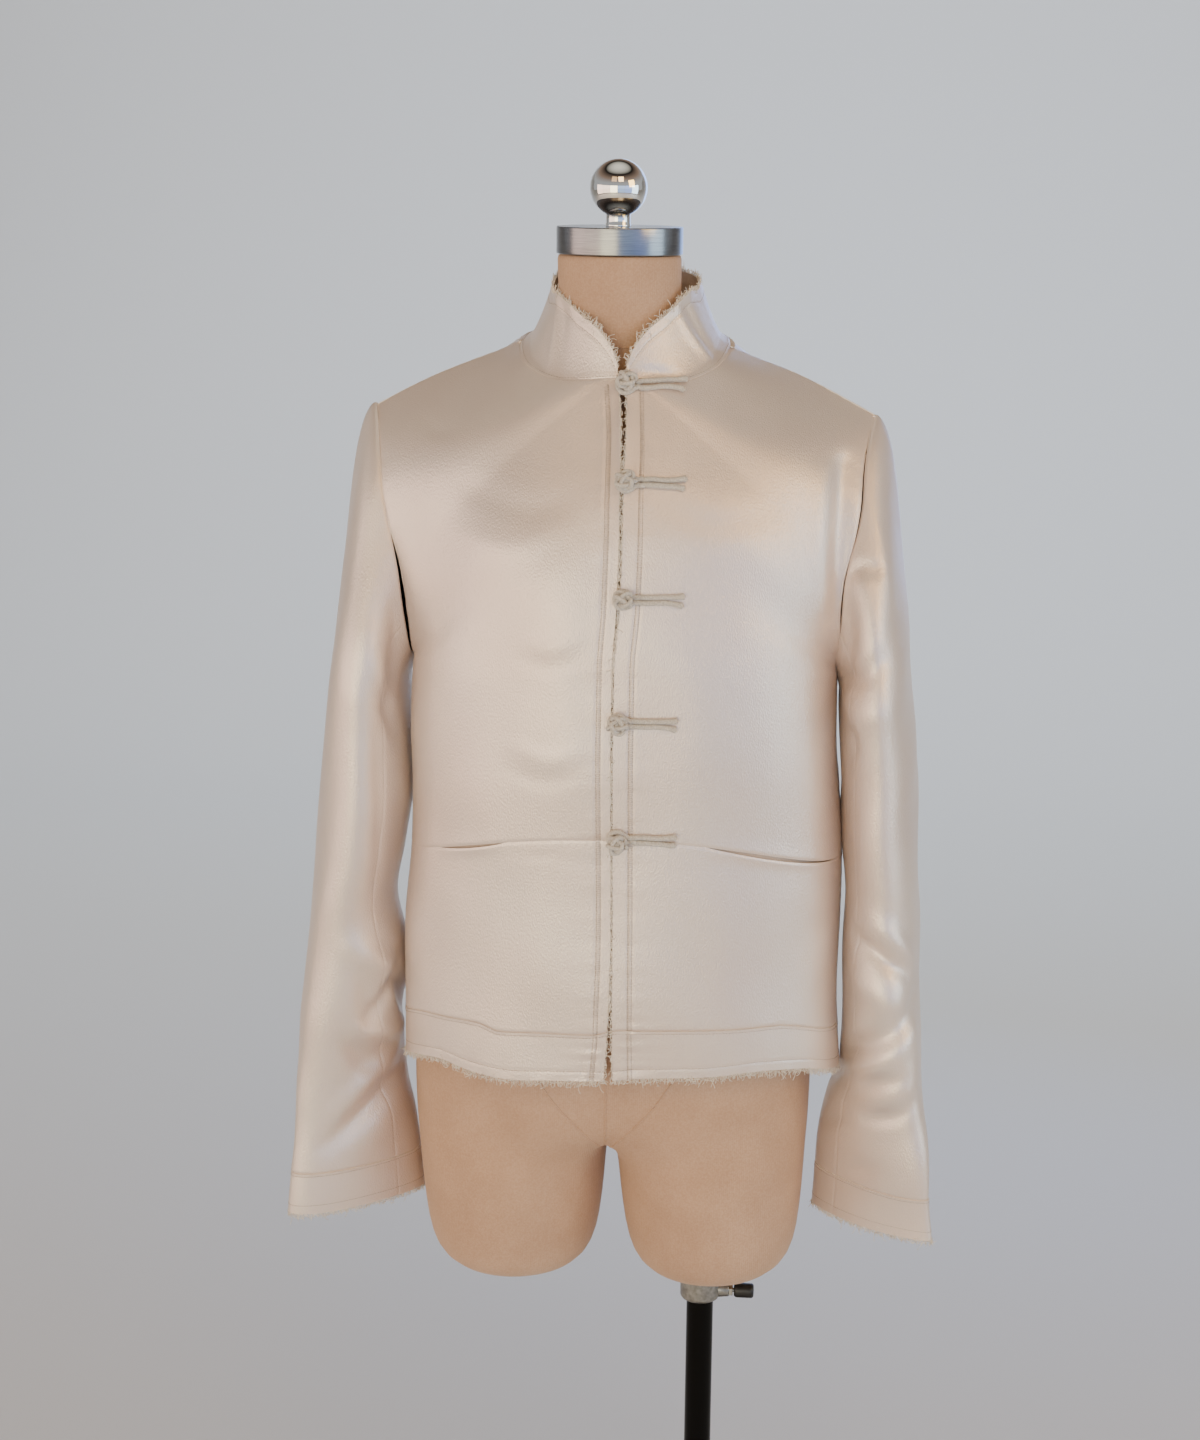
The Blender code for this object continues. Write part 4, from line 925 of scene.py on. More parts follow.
LEFT_FOLDS = folds(
    "-3 6 1286 26 1294 54 1300 78 | 1.8 9 1268 34 1268 62 1280 92 | "
    "-3.4 5 1248 48 1252 84 1244 116 | -2.8 9 1244 76 1210 72 1178 56 1158 42 | "
    "2.6 9 1238 98 1200 94 1172 84 | -3.8 8 1152 26 1158 66 1172 98 | "
    "2 10 1132 30 1128 66 1138 100 | -1.8 8 1118 36 1104 48 1085 40 | "
    "1.2 12 1080 70 1020 72 975 74 | 3.4 8 958 76 944 104 922 140 | -4.8 7 940 44 929 86 914 132 | "
    "3.6 11 908 44 898 78 884 112 | -5 9 886 150 864 98 836 42 806 10 | "
    "2.8 8 862 140 838 92 815 48 | -2.4 6 812 68 820 92 824 114 | -2.8 6 782 80 790 108 804 142 | "
    "1.6 8 796 60 802 92 812 120 | -1.8 6 760 26 768 40 774 54 | -1.2 6 728 60 732 74 736 88 | "
    "-2.2 10 1230 300 1170 292 1110 284 | 2.8 10 1190 244 1110 256 1030 262 | "
    "3.2 9 970 205 948 246 930 290 | -4.2 8 948 200 925 250 905 304 | "
    "3 9 895 215 878 262 862 306 | -3 8 858 208 838 256 822 300 | "
    "-1.8 12 905 160 850 168 800 170",
    (1000, 1),
)
FRONT_SEAM, BACK_SEAM = math.radians(3 * 360 / 22), math.radians(14 * 360 / 22)
SLEEVE_STEP, CAP_LENGTH, ARM_LENGTH = 3.4 * MM, 0.24, BICEP_Z - CUFF_SEAM_Z
CUFF_HEIGHT, PANEL_WIDTH = CUFF_SEAM_Z - CUFF_HEM_Z, 0.19
FOLD_GAIN, FOLD_SPREAD = 1.15, 1.4


def on_sleeve(grid, angle, z, degrees):
    """The point of a whole sleeve net at a height and an angle."""
    column = np.interp(np.mod(math.radians(degrees), 2 * np.pi), angle, np.arange(len(angle)))
    line = grid[:, int(round(column)) % grid.shape[1]]
    line = line[np.argsort(line[:, 2])]
    return read_at(line[:, 2], line, z)


def sleeve_piece(side, side_name, kind, first, last, marks, guide):
    """One panel of a sleeve with its cuff below it."""
    upper = np.linspace(0, 1, int(CAP_LENGTH / SLEEVE_STEP))[1:-1]
    upper = np.concatenate([NEAR_SEAM[:-1] / CAP_LENGTH, upper[upper > NEAR_SEAM[-1] / CAP_LENGTH]])
    lower = np.linspace(0, ARM_LENGTH - NEAR_SEAM[-1], int(ARM_LENGTH / SLEEVE_STEP))
    lower = 1 + np.concatenate([lower, ARM_LENGTH - NEAR_SEAM[-2::-1]])
    cuff = 1 + ARM_LENGTH + CUFF_HEIGHT * spread(CUFF_HEIGHT, 3 * MM)
    angles = first + (last - first) * spread(PANEL_WIDTH, SLEEVE_STEP)
    flip = side > 0
    for part, stations, seams in (
        ("sleeve", np.concatenate([upper, lower]), {"first": 0.9, "last": 1.0}),
        ("cuff", cuff, {"first": -0.2}),
    ):
        grid = sleeve_surface(side, stations, angles)
        normals = grid_normals(grid, flip)
        shift = waves(grid, 20 + side, 0.075, 0.8) + waves(grid, 30 + side, 0.20, 1.5)
        shift += sew(grid, {**seams, "start": 0.3, "end": 0.3}, len(stations) + side)
        fade = 1.0
        if part == "sleeve":
            fade = np.clip(edge_distance(grid)["first"] / (14 * MM), 0, 1)
        for (height, width, _), line in zip(marks, guide):
            shift += fold(grid, line, FOLD_GAIN * height, FOLD_SPREAD * width) * fade
        outer = draw_back(grid, normals, shift)
        shell(f"{part}_{kind}_{side_name}", outer, grid_normals(outer, flip), flip, grid)


for (side_name, side), marks in zip(SIDES.items(), (RIGHT_FOLDS, LEFT_FOLDS)):
    whole = np.linspace(0, 2 * np.pi, 73)[:-1]
    below = 1 + np.linspace(0, BICEP_Z - CUFF_HEM_Z, 90)
    net = sleeve_surface(side, np.concatenate([np.linspace(0, 1, 40)[:-1], below]), whole)
    guide = [[on_sleeve(net, whole, z, d) for z, d in line] for _, _, line in marks]
    sleeve_piece(side, side_name, "top", FRONT_SEAM, BACK_SEAM, marks, guide)
    sleeve_piece(side, side_name, "under", BACK_SEAM, FRONT_SEAM + 2 * np.pi, marks, guide)
print("sleeves done", len(OUTER))

# %% Seam allowances that fill the armholes from behind
for side_name in SIDES:
    lines = []
    for name, first in ((f"front_{side_name}_upper", 40), ("back", 60)):
        column = 0 if name == "back" and side_name == "right" else -1
        outer, normals = (array[first:, column] for array in OUTER[name])
        lines.append(along(outer - normals * 1.0 * MM, np.linspace(0, 1, 60)))
    name = f"armhole_allowance_{side_name}"
    strands(name, lines, 1.3 * MM, SATIN, sides=8, slot="champagne_satin")
print("armhole allowances", len(SIDES))

# %% [markdown]
# ## The collar
# A standing collar is a strip sewn to the neckline. Its top edge is cut in a quarter round at
# both ends and left raw. It is stiffer than the rest, with a few buckles where it turns.

# %% Collar
COLLAR_HEIGHT, COLLAR_THICK = 0.050, 1.6 * MM
COLLAR_TOP = table(
    "run height",
    "0 10 | 4 21 | 10 29.7 | 20 40 | 40 51.5 | 60 59 | 80 60.5 | 100 55 | 118 50.5 | 160 50",
)
# Each line here is pairs of thousandths: along the collar, then up it.
COLLAR_FOLDS = folds(
    "1.5 5 150 150 166 550 185 950 | -1.2 6 122 100 136 500 150 900 | "
    "-1.6 6 895 120 925 200 950 220 | 1.8 5 815 200 845 550 868 980 | "
    "-1.4 6 790 150 815 500 835 900 | 1.2 8 360 100 372 500 380 900 | "
    "-1.2 8 610 100 622 500 628 900"
)


def neckline(count):
    """The neckline from the right front edge round the back to the left front edge."""
    up = np.linspace(NECK_ROW, SHOULDER_ROW, 60)
    run = []
    for side in (-1, 1):
        half = [inner_point("front", side, row) for row in up]
        half += [inner_point("back", side, row) for row in up[-2::-1]]
        run.append(np.array(half))
    line = np.concatenate([run[0], run[1][-2::-1]])
    length = run_of(line)[-1]
    return along(line, spread(length, length / count))


LEAN_FRONT, LEAN_SIDE, LEAN_BACK = 6 * MM, 20.5 * MM, 12 * MM
NECK_MIDDLE, NECK_BACK_Y = [0, 12 * MM, 0], 62 * MM
foot = neckline(130)
length = run_of(foot)
height = smooth(COLLAR_TOP, "height", np.minimum(length, length[-1] - length))
sideways = np.clip(np.abs(foot[:, 0]) / foot[:, 0].max(), 0, 1)
inward = unit(foot * [-1, -1, 0] - NECK_MIDDLE)
behind = np.clip(foot[:, 1] / NECK_BACK_Y, 0, 1) * (1 - sideways)
lean = LEAN_FRONT + LEAN_SIDE * sideways**1.6 + LEAN_BACK * behind
grid = []
for share in spread(COLLAR_HEIGHT, 1.7 * MM):
    up = height * share
    inset = lean * np.clip(up / COLLAR_HEIGHT, 0, 1) ** 0.62
    row = foot + inward * inset[:, None]
    row[:, 2] += np.sqrt(np.clip(up**2 - (inset * 0.8) ** 2, (0.55 * up) ** 2, None))
    grid.append(row)
grid = np.array(grid)
last_row, last_column = grid.shape[0] - 1, grid.shape[1] - 1
shift = sew(grid, {"first": 0.7}, 77) + stitch_groove(edge_distance(grid)["last"], (9.0,))
for lift, width, line in COLLAR_FOLDS:
    path = [grid[int(up * last_row), int(round(at * last_column))] for at, up in line]
    shift += fold(grid, path, lift, width)
outer = grid + grid_normals(grid, True) * shift[..., None]
shell("collar", outer, grid_normals(outer, True), True, grid, COLLAR_THICK)
print("collar", outer.shape)

# %% [markdown]
# ## Threads and stitches
# The cut edges are left raw, so the yarns that run along the edge have fallen out and the ones
# that end there stand off as a fringe. Most are 1 to 3 mm long, a few hang or curl. Rows of
# machine stitches hold the layers near each edge.


# %% Threads along an edge
def edge_frame(name, where):
    """Points, outward directions within the cloth, and normals along one side of a piece."""
    outer, normals = OUTER[name]
    rows = OPEN_ROWS.get(name, len(outer))
    line, before, face = {
        "first": (outer[0], outer[2], normals[0]),
        "last": (outer[-1], outer[-3], normals[-1]),
        "start": (outer[:rows, 0], outer[:rows, 2], normals[:rows, 0]),
        "end": (outer[:, -1], outer[:, -3], normals[:, -1]),
    }[where]
    return line, unit(line - before), face


def resampled(name, where, pitch):
    """A side's points, outward directions and normals at places a pitch in mm apart, shaken."""
    arrays = edge_frame(name, where)
    run = run_of(arrays[0])
    count = max(int(run[-1] / (pitch * MM)), 2)
    at = np.linspace(0, run[-1], count) + dice.normal(0, 1, count) * pitch * MM * 0.4
    line, out, face = (read_at(run, a, np.clip(at, 0, run[-1])) for a in arrays)
    return line, out, face, unit(np.cross(unit(out), unit(face))), count


def fringe(name, where, pitch=0.8, short=(0.8, 3.0), wild=0.05, reach=(5, 11), shed=0.6):
    """Loose yarn ends along a raw edge; wild is the share of long curling ones."""
    line, out, face, side, count = resampled(name, where, pitch)
    out, face = unit(out), unit(face)
    long = dice.random(count) < wild
    size = np.where(long, dice.uniform(*reach, count), dice.uniform(*short, count) ** 1.15) * MM
    lean = dice.normal(0, 0.45, count) + np.where(long, dice.normal(0, 0.5, count), 0)
    lift = dice.normal(0.05, 0.22, count)
    curl = np.where(long, dice.normal(0, 2.4, count), dice.normal(0, 0.7, count))
    size, lean, lift, curl = (a[:, None, None] for a in (size, lean, lift, curl))
    turn = lean + curl * np.linspace(0, 1, 7)[None, :, None]
    way = np.cos(turn) * out[:, None] + np.sin(turn) * side[:, None] + lift * face[:, None]
    steps = np.concatenate([np.zeros((count, 1, 3)), way[:, :-1] * size / 6], axis=1)
    root = line - face * dice.uniform(0.15, 0.95, count)[:, None] * CLOTH - out * shed * MM
    return root[:, None] + np.cumsum(steps, axis=1)


def loose_yarns(name, where, rows=3, away=0.3, slack=0.7):
    """Yarns that ran beside the edge and now lie along it in slack waves."""
    line, out, face = edge_frame(name, where)
    run = run_of(line)
    step, steps = 1.6 * MM, 22
    count = np.arange(steps)
    lines = []
    for _ in range(int(rows * run[-1] / (steps * step))):
        begin = dice.uniform(-0.01, run[-1] - 0.5 * steps * step)
        at = np.clip(begin + count * step, 0, run[-1])
        spot, way, up = (read_at(run, a, at) for a in (line, out, face))
        phase = dice.uniform(0, 6.3, 2)
        swing = slack * np.sin(count * dice.uniform(0.7, 1.3) + phase[0])
        rise = slack * 0.6 * np.sin(count * dice.uniform(0.6, 1.2) + phase[1])
        off = away + dice.normal(0, 0.45) + swing
        lines.append(spot + (way * off[:, None] + up * (rise - 0.4)[:, None]) * MM)
    return np.array(lines)


def crossing(name, where, pitch=9.0):
    """A few of the yarns that lay along the edge, half fallen out of the fringe."""
    line, out, _, side, count = resampled(name, where, pitch)
    size = dice.uniform(3, 9, count)[:, None, None] * MM
    t = np.linspace(-0.5, 0.5, 7)[None, :, None]
    bow = dice.normal(0.5, 1.0, count)[:, None, None] * MM * (1 - 4 * t**2)
    rise = dice.uniform(0.2, 1.8, count)[:, None, None] * MM
    tilt = dice.normal(0, 0.35, count)[:, None, None]
    return line[:, None] + side[:, None] * t * size + out[:, None] * (rise + bow + tilt * t * size)


# %% Stitches along a row
def inset_row(name, where, inset):
    """Points and normals along one side of a piece, a given distance in."""
    grid, faces = OUTER[name]
    if where == "start":
        rows = OPEN_ROWS.get(name, len(grid))
        grid, faces = (np.swapaxes(a[:rows], 0, 1) for a in (grid, faces))
    if where == "last":
        grid, faces = grid[::-1], faces[::-1]
    columns = range(grid.shape[1])
    runs = [run_of(grid[:, c]) for c in columns]
    return [
        np.array([read_at(runs[c], a[:, c], inset * MM) for c in columns]) for a in (grid, faces)
    ]


def stitches(name, where, inset, pitch=2.7, long=2.1):
    """A row of straight machine stitches a given distance in from one side of a piece."""
    row, face = inset_row(name, where, inset)
    run = run_of(row)
    middle = np.arange(0.6, run[-1] / MM - 1, pitch) * MM
    at = middle[:, None] + np.linspace(-0.5, 0.5, 5) * long * MM
    arch = np.array([-0.14, 0.12, 0.18, 0.12, -0.14]) * MM
    return read_at(run, row, at) + unit(read_at(run, face, at)) * arch[None, :, None]


def zigzag(name, where, near, far, pitch=1.7):
    """Stitches that cross between two rows, as an overlock seam shows them."""
    row, face = inset_row(name, where, near)
    other, _ = inset_row(name, where, far)
    run = run_of(row)
    at = np.arange(0.5, run[-1] / MM - 1, pitch / 2) * MM
    starts, up = (read_at(run, a, at) for a in (row, face))
    ends = read_at(run_of(other), other, at + 0.5 * pitch * MM)
    share = np.linspace(0.06, 0.94, 5)[None, :, None]
    forward = (np.arange(len(at)) % 2 == 0)[:, None, None]
    swung = np.where(forward, share, 1 - share)
    arch = np.array([-0.05, 0.14, 0.17, 0.14, -0.05])[None, :, None] * MM
    return starts[:, None] * (1 - swung) + ends[:, None] * swung + unit(up)[:, None] * arch


def trim(kind, part, lines, material, radius=0.25):
    """Threads as one piece that belongs to a cloth sheet."""
    name, lines = f"{kind}_{part}", np.concatenate(lines)
    obj = strands(name, lines, radius * MM, material, slot="champagne_satin")
    TRIMMINGS.setdefault(part, []).append(obj)


# %% Raw edges
HEM_FRINGE = (0.5, (2.4, 5.4), 0.10, (6, 12))
CUFFS = [f"cuff_{kind}_{side_name}" for side_name in SIDES for kind in ("top", "under")]
for side_name in SIDES:
    for part, wild in zip(front_parts(side_name), (0.06, 0.04, 0.05)):
        lines = [fringe(part, "start", 0.7, (0.9, 2.6), wild, (4, 9)), crossing(part, "start", 8)]
        trim("yarns", part, [loose_yarns(part, "start")], FRAY)
        if part.startswith("hem"):
            lines += [fringe(part, "first", *HEM_FRINGE), crossing(part, "first", 6)]
        trim("fray", part, lines, FRAY)
part = "hem_band_back"
trim("fray", part, [fringe(part, "first", *HEM_FRINGE), crossing(part, "first", 6)], FRAY)
for part in CUFFS:
    lines = [fringe(part, "last", 0.5, (2.2, 4.4), 0.08, (5, 12)), crossing(part, "last", 6)]
    trim("fray", part, lines, FRAY)
lines = [fringe("collar", "last", 0.45, (1.4, 4.2), 0.20, (4, 9), 0.4)]
lines.append(crossing("collar", "last", 5))
for end in ("start", "end"):
    lines.append(fringe("collar", end, 0.6, (0.8, 2.2), 0.05, (3, 6), 0.3))
trim("fray", "collar", lines, FRAY, 0.26)
print("frayed pieces", len(TRIMMINGS))

# %% Rows of stitches
HEM_ROWS = (("first", 8.0), ("last", 2.2))
for side_name, insets in PLACKET_ROWS.items():
    for part in front_parts(side_name):
        rows = [stitches(part, "start", inset) for inset in insets]
        rows.append(zigzag(part, "start", *insets))
        if part.startswith("hem"):
            rows += [stitches(part, *row) for row in HEM_ROWS]
        trim("stitches", part, rows, SEWING)
stitched = {"hem_band_back": HEM_ROWS}
stitched.update({part: (("last", 7.5), ("first", 2.0)) for part in CUFFS})
stitched["collar"] = (("last", 9.0), ("first", 2.2))
for part, rows in stitched.items():
    trim("stitches", part, [stitches(part, *row) for row in rows], SEWING)
print("stitched pieces", len(stitched) + 3 * len(SIDES))

# %% [markdown]
# ## Knot buttons and cord loops
# A knot button is a ball tied from a narrow tube of the cloth, in an interlaced knot, and sewn
# on by its stalk. The loop opposite is the same tube: it turns round the stalk, and its two
# halves lie side by side as a tail that is stitched down and cut square.

# %% Cords
KNOTS = table("x z", "7 1386 | 11.2 1314 | 12.2 1226 | 9.4 1129 | 9.8 1035")
CORD_RADIUS = 2.1 * MM
BALL_CORD, BALL_REACH, BALL_WEAVE = 1.65 * MM, 6.0 * MM, 1.4 * MM
BALL_LATITUDE, BALL_BIGHTS, BALL_LEADS = math.radians(58), 4, 3
LOOP_SIDE_X, LOOP_TOP_Z = 0.0145, 1.3870
KNOT_STALK = 3.0 * MM
CORD_ABOVE_CLOTH, KNOT_ABOVE_CLOTH = 2.9 * MM, 10.6 * MM
END_YARNS, YARN_STEPS = 22, np.linspace(0, 1, 5)


def tube(line, radius, sides=12):
    """Points and faces of one round cord; radius may vary along it."""
    ahead = unit(np.gradient(line, axis=0))
    side = unit(np.cross(ahead[0], [0.31, 0.92, 0.22]))
    points = []
    for point, way, thick in zip(line, ahead, np.broadcast_to(radius, len(line))):
        side = unit(side - way * (side @ way))
        points.append(rings(point, side, np.cross(way, side), thick, sides))
    index = np.arange(len(line) * sides).reshape(-1, sides)
    ends = [index[0, ::-1].tolist(), index[-1].tolist()]
    return np.concatenate(points), ring_quads(index) + ends


def cord_piece(name, parts, node_name):
    """Cords joined to one piece."""
    faces, start = [], 0
    for points, quads in parts:
        faces += [[corner + start for corner in face] for face in quads]
        start += len(points)
    points = np.concatenate([points for points, _ in parts])
    return mesh_piece(name, points, faces, [CORD], slot="satin_cord", replaces=node_name)


grid = np.concatenate([OUTER[f"front_left_{part}"][0] for part in ("lower", "upper")])
quads = grid_quads(np.arange(grid.shape[0] * grid.shape[1]).reshape(grid.shape[:2]))
corners = [Vector(point) for point in grid.reshape(-1, 3)]
left_front = BVHTree.FromPolygons(corners, quads.reshape(-1, 4).tolist())


def on_front(x, z):
    """A point and normal of the left front, whose plane carries on past its edges."""
    near = Vector((max(x, LOOP_SIDE_X), -1.0, min(z, LOOP_TOP_Z)))
    spot, normal, _, _ = left_front.ray_cast(near, Vector((0.0, 1.0, 0.0)))
    return np.array([x, spot.y - normal.z * (z - near.z) / normal.y, z]), unit(np.array(normal))


# %% Knots and loops
def knot_ball(centre, normal, number):
    """An interlaced ball: one cord that winds three times round a small core."""
    turn = np.linspace(0, 2 * np.pi * BALL_LEADS, 170)
    wave = BALL_BIGHTS / BALL_LEADS
    latitude = BALL_LATITUDE * np.cos(wave * turn)
    reach = BALL_REACH + BALL_WEAVE * np.sin(2 * wave * turn)
    spin = turn + 0.9 * number
    out = reach * np.cos(latitude)
    line = np.stack([reach * np.sin(latitude), out * np.cos(spin), out * np.sin(spin)], axis=1)
    tilt = Matrix.Rotation(0.5 * math.sin(2.1 * number), 3, "Y")
    tilt = tilt @ Matrix.Rotation(0.35 * math.cos(1.7 * number), 3, "Z")
    line = line @ np.array(tilt).T * [1.08, 0.92, 1.0] + centre
    core = np.linspace(-1, 1, 9)
    blob = centre + core[:, None] * np.array([3.8 * MM, 0, 0])
    base = centre - normal * (KNOT_ABOVE_CLOTH - 1.3 * MM)
    stalk = base + (centre - base) * np.linspace(0, 1, 8)[:, None]
    return [
        tube(line[:-1], BALL_CORD),
        tube(blob, 3.9 * MM * np.sqrt(np.clip(1.02 - core**2, 0.02, 1))),
        tube(stalk, KNOT_STALK - 0.4 * MM),
    ]


def loop_line(x, z, number):
    """The loop's cord: in along the tail, round the knot's stalk, and back beside itself."""
    ring = KNOT_STALK + CORD_RADIUS + 1.3 * MM
    apart = CORD_RADIUS * 1.04
    end = x + ring + 0.040
    ripple = 0.35 * MM * math.sin(2.3 * number)
    # Each tail point is a distance in from its end and how far it strays from the other cord.
    upper = [(0, 0.9 * MM), (5, 0.3 * MM), (14, ripple), (26, -ripple), (34, 0), (38, 0)]
    lower = [(1, 2.2 * MM), (6, 0.9 * MM), (15, -ripple), (27, ripple), (34, 0), (38, 0)]
    upper, lower = (
        [(end - back * MM, way * (apart + stray)) for back, stray in tail]
        for way, tail in ((1, upper), (-1, lower))
    )
    bend = np.radians(np.linspace(60, 300, 9))
    turn = [(x + ring * math.cos(a), ring * math.sin(a)) for a in bend]
    route = curve([(px, 0.0, dz) for px, dz in upper + turn + lower[::-1]], 130)
    found = [on_front(px, z + dz) for px, _, dz in route]
    return np.array([point + normal * CORD_ABOVE_CLOTH for point, normal in found])


for number, (x, z) in enumerate(zip(KNOTS["x"], KNOTS["z"]), 1):
    foot_point, normal = on_front(x, z)
    parts = knot_ball(foot_point + normal * KNOT_ABOVE_CLOTH, normal, number)
    cord_piece(f"cord_knot_{number}", parts, f"knot_{number}")
    line = loop_line(x, z, number)
    count = np.arange(len(line))
    flare = np.clip(1 - count / 7, 0, 1)
    thick = CORD_RADIUS * (1 + 0.22 * (flare + flare[::-1])) * (1 + 0.03 * np.sin(count * 1.3))
    sharpen(cord_piece(f"cord_loop_{number}", [tube(line, thick, 14)], f"loop_{number}"), 60)
    ends = []
    for tip, before in ((line[0], line[2]), (line[-1], line[-3])):
        way = unit(tip - before)
        for _ in range(END_YARNS):
            aside = unit(dice.normal(size=3)) * CORD_RADIUS * dice.uniform(0.1, 1.1)
            start = tip - way * 0.3 * MM + aside - way * (aside @ way)
            bend = unit(way + 0.5 * dice.normal(size=3))
            size = dice.uniform(0.5, 2.2) * MM
            ends.append([start + (way * (1 - t) + bend * t) * size * t for t in YARN_STEPS])
    strands(f"fray_loop_{number}", ends, 0.15 * MM, FRAY, slot="satin_cord")
print("knots and loops", number)

# %% [markdown]
# ## The form
# The form is a stuffed or foam body with a jersey cover. Its seams run down the centre front,
# from the hips to the crotch and round the neck. The cover is drawn as thin piping lines sunk
# in the knit, on a surface that follows the solid's sections but is smooth.

# %% Form tables
FORM_X, NECK_Y, POLE_X = -0.003, -0.022, 0.076
TRUNK = table(
    "z half_width front back fullness",
    "765 168.5 -102 109 2.3 | 800 169.5 -107 113 2.3 | 850 167 -110 114 2.3 | "
    "900 158 -108 109 2.3 | 950 144 -104 97 2.2 | 1000 130 -98 86 2.1 | 1045 124.5 -95 82 2.1 | "
    "1100 134 -103 86 2.1 | 1150 146 -116 93 2.2 | 1200 156 -120 100 2.3 | 1250 166 -111 101 2.3 | "
    "1290 174 -98 95 2.3 | 1325 179 -86 88 2.2 | 1345 178 -74 82 2.05 | 1355 175 -67 78 1.9 | "
    "1366 167 -60 73 1.65 | 1379 143 -54 66 1.45 | 1390 116 -52 60 1.4 | 1400 94 -52 55 1.45 | "
    "1410 75 -53 50 1.6 | 1422 56 -54 41 1.85 | 1440 48 -57.5 36 2 | 1455 49.2 -63.5 33.5 2 | "
    "1485.4 49.5 -71.5 27.5 2",
)
THIGH = table(
    "z middle half_width half_depth back_of_middle",
    "622.5 79 20 22 0 | 623.2 80.5 43 50 0 | 629 82.5 59 69 0 | 641 83.5 69 80 0 | "
    "663 84 75 88 1 | 700 84.5 79 93 2 | 734 85 81.2 98 3",
)
LEFT_THIGH_OUT = 0.0050
CLEFT_WIDTH, CLEFT_TOP, CLEFT_DEPTH, CROTCH_Z = 0.045, 0.86, 0.024, 0.7480
FORM_COLUMNS = 56
RING_HEIGHTS = [
    float(number) * MM
    for number in (
        "760 778 800 830 870 910 955 1000 1045 1090 1135 1180 1220 1260 1300 1330 1350 1364 1376 "
        "1388 1400 1412 1426 1446 1466 1484.6 1485.4"
    ).split()
]


def trunk_ring(z):
    """A level section of the trunk, from the centre front by way of +X."""
    half, front, back, fullness = columns_of(TRUNK, z)
    angle = 2 * np.pi * np.arange(FORM_COLUMNS) / FORM_COLUMNS
    across, depth = (
        np.abs(wave) ** (2 / fullness) * np.sign(wave) for wave in (np.sin(angle), np.cos(angle))
    )
    cleft = CLEFT_DEPTH * max(0.0, (CLEFT_TOP - z) / (CLEFT_TOP - CROTCH_Z)) ** 2
    depth = depth * (1 - cleft / 0.1 * np.exp(-((half * across / CLEFT_WIDTH) ** 2)))
    y = (front + back) / 2 - (back - front) / 2 * depth
    return np.stack([FORM_X + half * across, y, np.full(FORM_COLUMNS, z)], axis=1)


def thigh_ring(side, z, angle):
    """A level section of one thigh; angle counts round it from the inner side by the front."""
    middle, half, deep, back = columns_of(THIGH, z)
    if side > 0:
        middle += LEFT_THIGH_OUT * (CROTCH_Z - z) / (CROTCH_Z - THIGH["z"][0])
    x = FORM_X + side * (middle - half * np.cos(angle))
    return np.stack([x, back - deep * np.sin(angle), np.full(len(angle), z)], axis=1)


# %% The jersey cover
def jersey():
    """Knitted cover: columns of tiny loops in beige yarn, drawn 1.6 mm apart instead of 0.8 mm."""
    made, tree, shader = finish(
        "beige_jersey_knitted_cover", Roughness=0.86, IOR=1.46, Sheen_Weight=0.35,
        Sheen_Roughness=0.5, Sheen_Tint=linear("#F3D9C2"),
    )
    place = {"Vector": node(tree, "TexCoord").outputs["Object"]}
    mixed = node(tree, "Mix", {"data_type": "RGBA", "blend_type": "MULTIPLY", "Factor": 1.0})
    colours = [socket for socket in mixed.inputs if socket.type == "RGBA"]
    for socket, scale, detail, stops in (
        (colours[0], 22.0, 3.0, ((0.3, "#B9987F"), (0.7, "#C6A58C"))),
        (colours[1], 620.0, 2.0, ((0.35, "#F3EDE8"), (0.65, "#FFFFFF"))),
    ):
        cloud = node(tree, "TexNoise", {"Scale": scale, "Detail": detail}, place)
        tint = node(tree, "ValToRGB", {"stops": stops}, {"Fac": cloud.outputs["Fac"]})
        tree.links.new(tint.outputs["Color"], socket)
    mixed_colour = [socket for socket in mixed.outputs if socket.type == "RGBA"][0]
    tree.links.new(mixed_colour, shader.inputs["Base Color"])
    ribs = node(tree, "TexWave", {"Scale": 196.0, "Distortion": 1.2, "Detail": 1.0}, place)
    relief = {"Strength": 0.25, "Distance": 0.0004}
    bump = node(tree, "Bump", relief, {"Height": ribs.outputs["Fac"]})
    tree.links.new(bump.outputs["Normal"], shader.inputs["Normal"])
    return made


JERSEY = jersey()


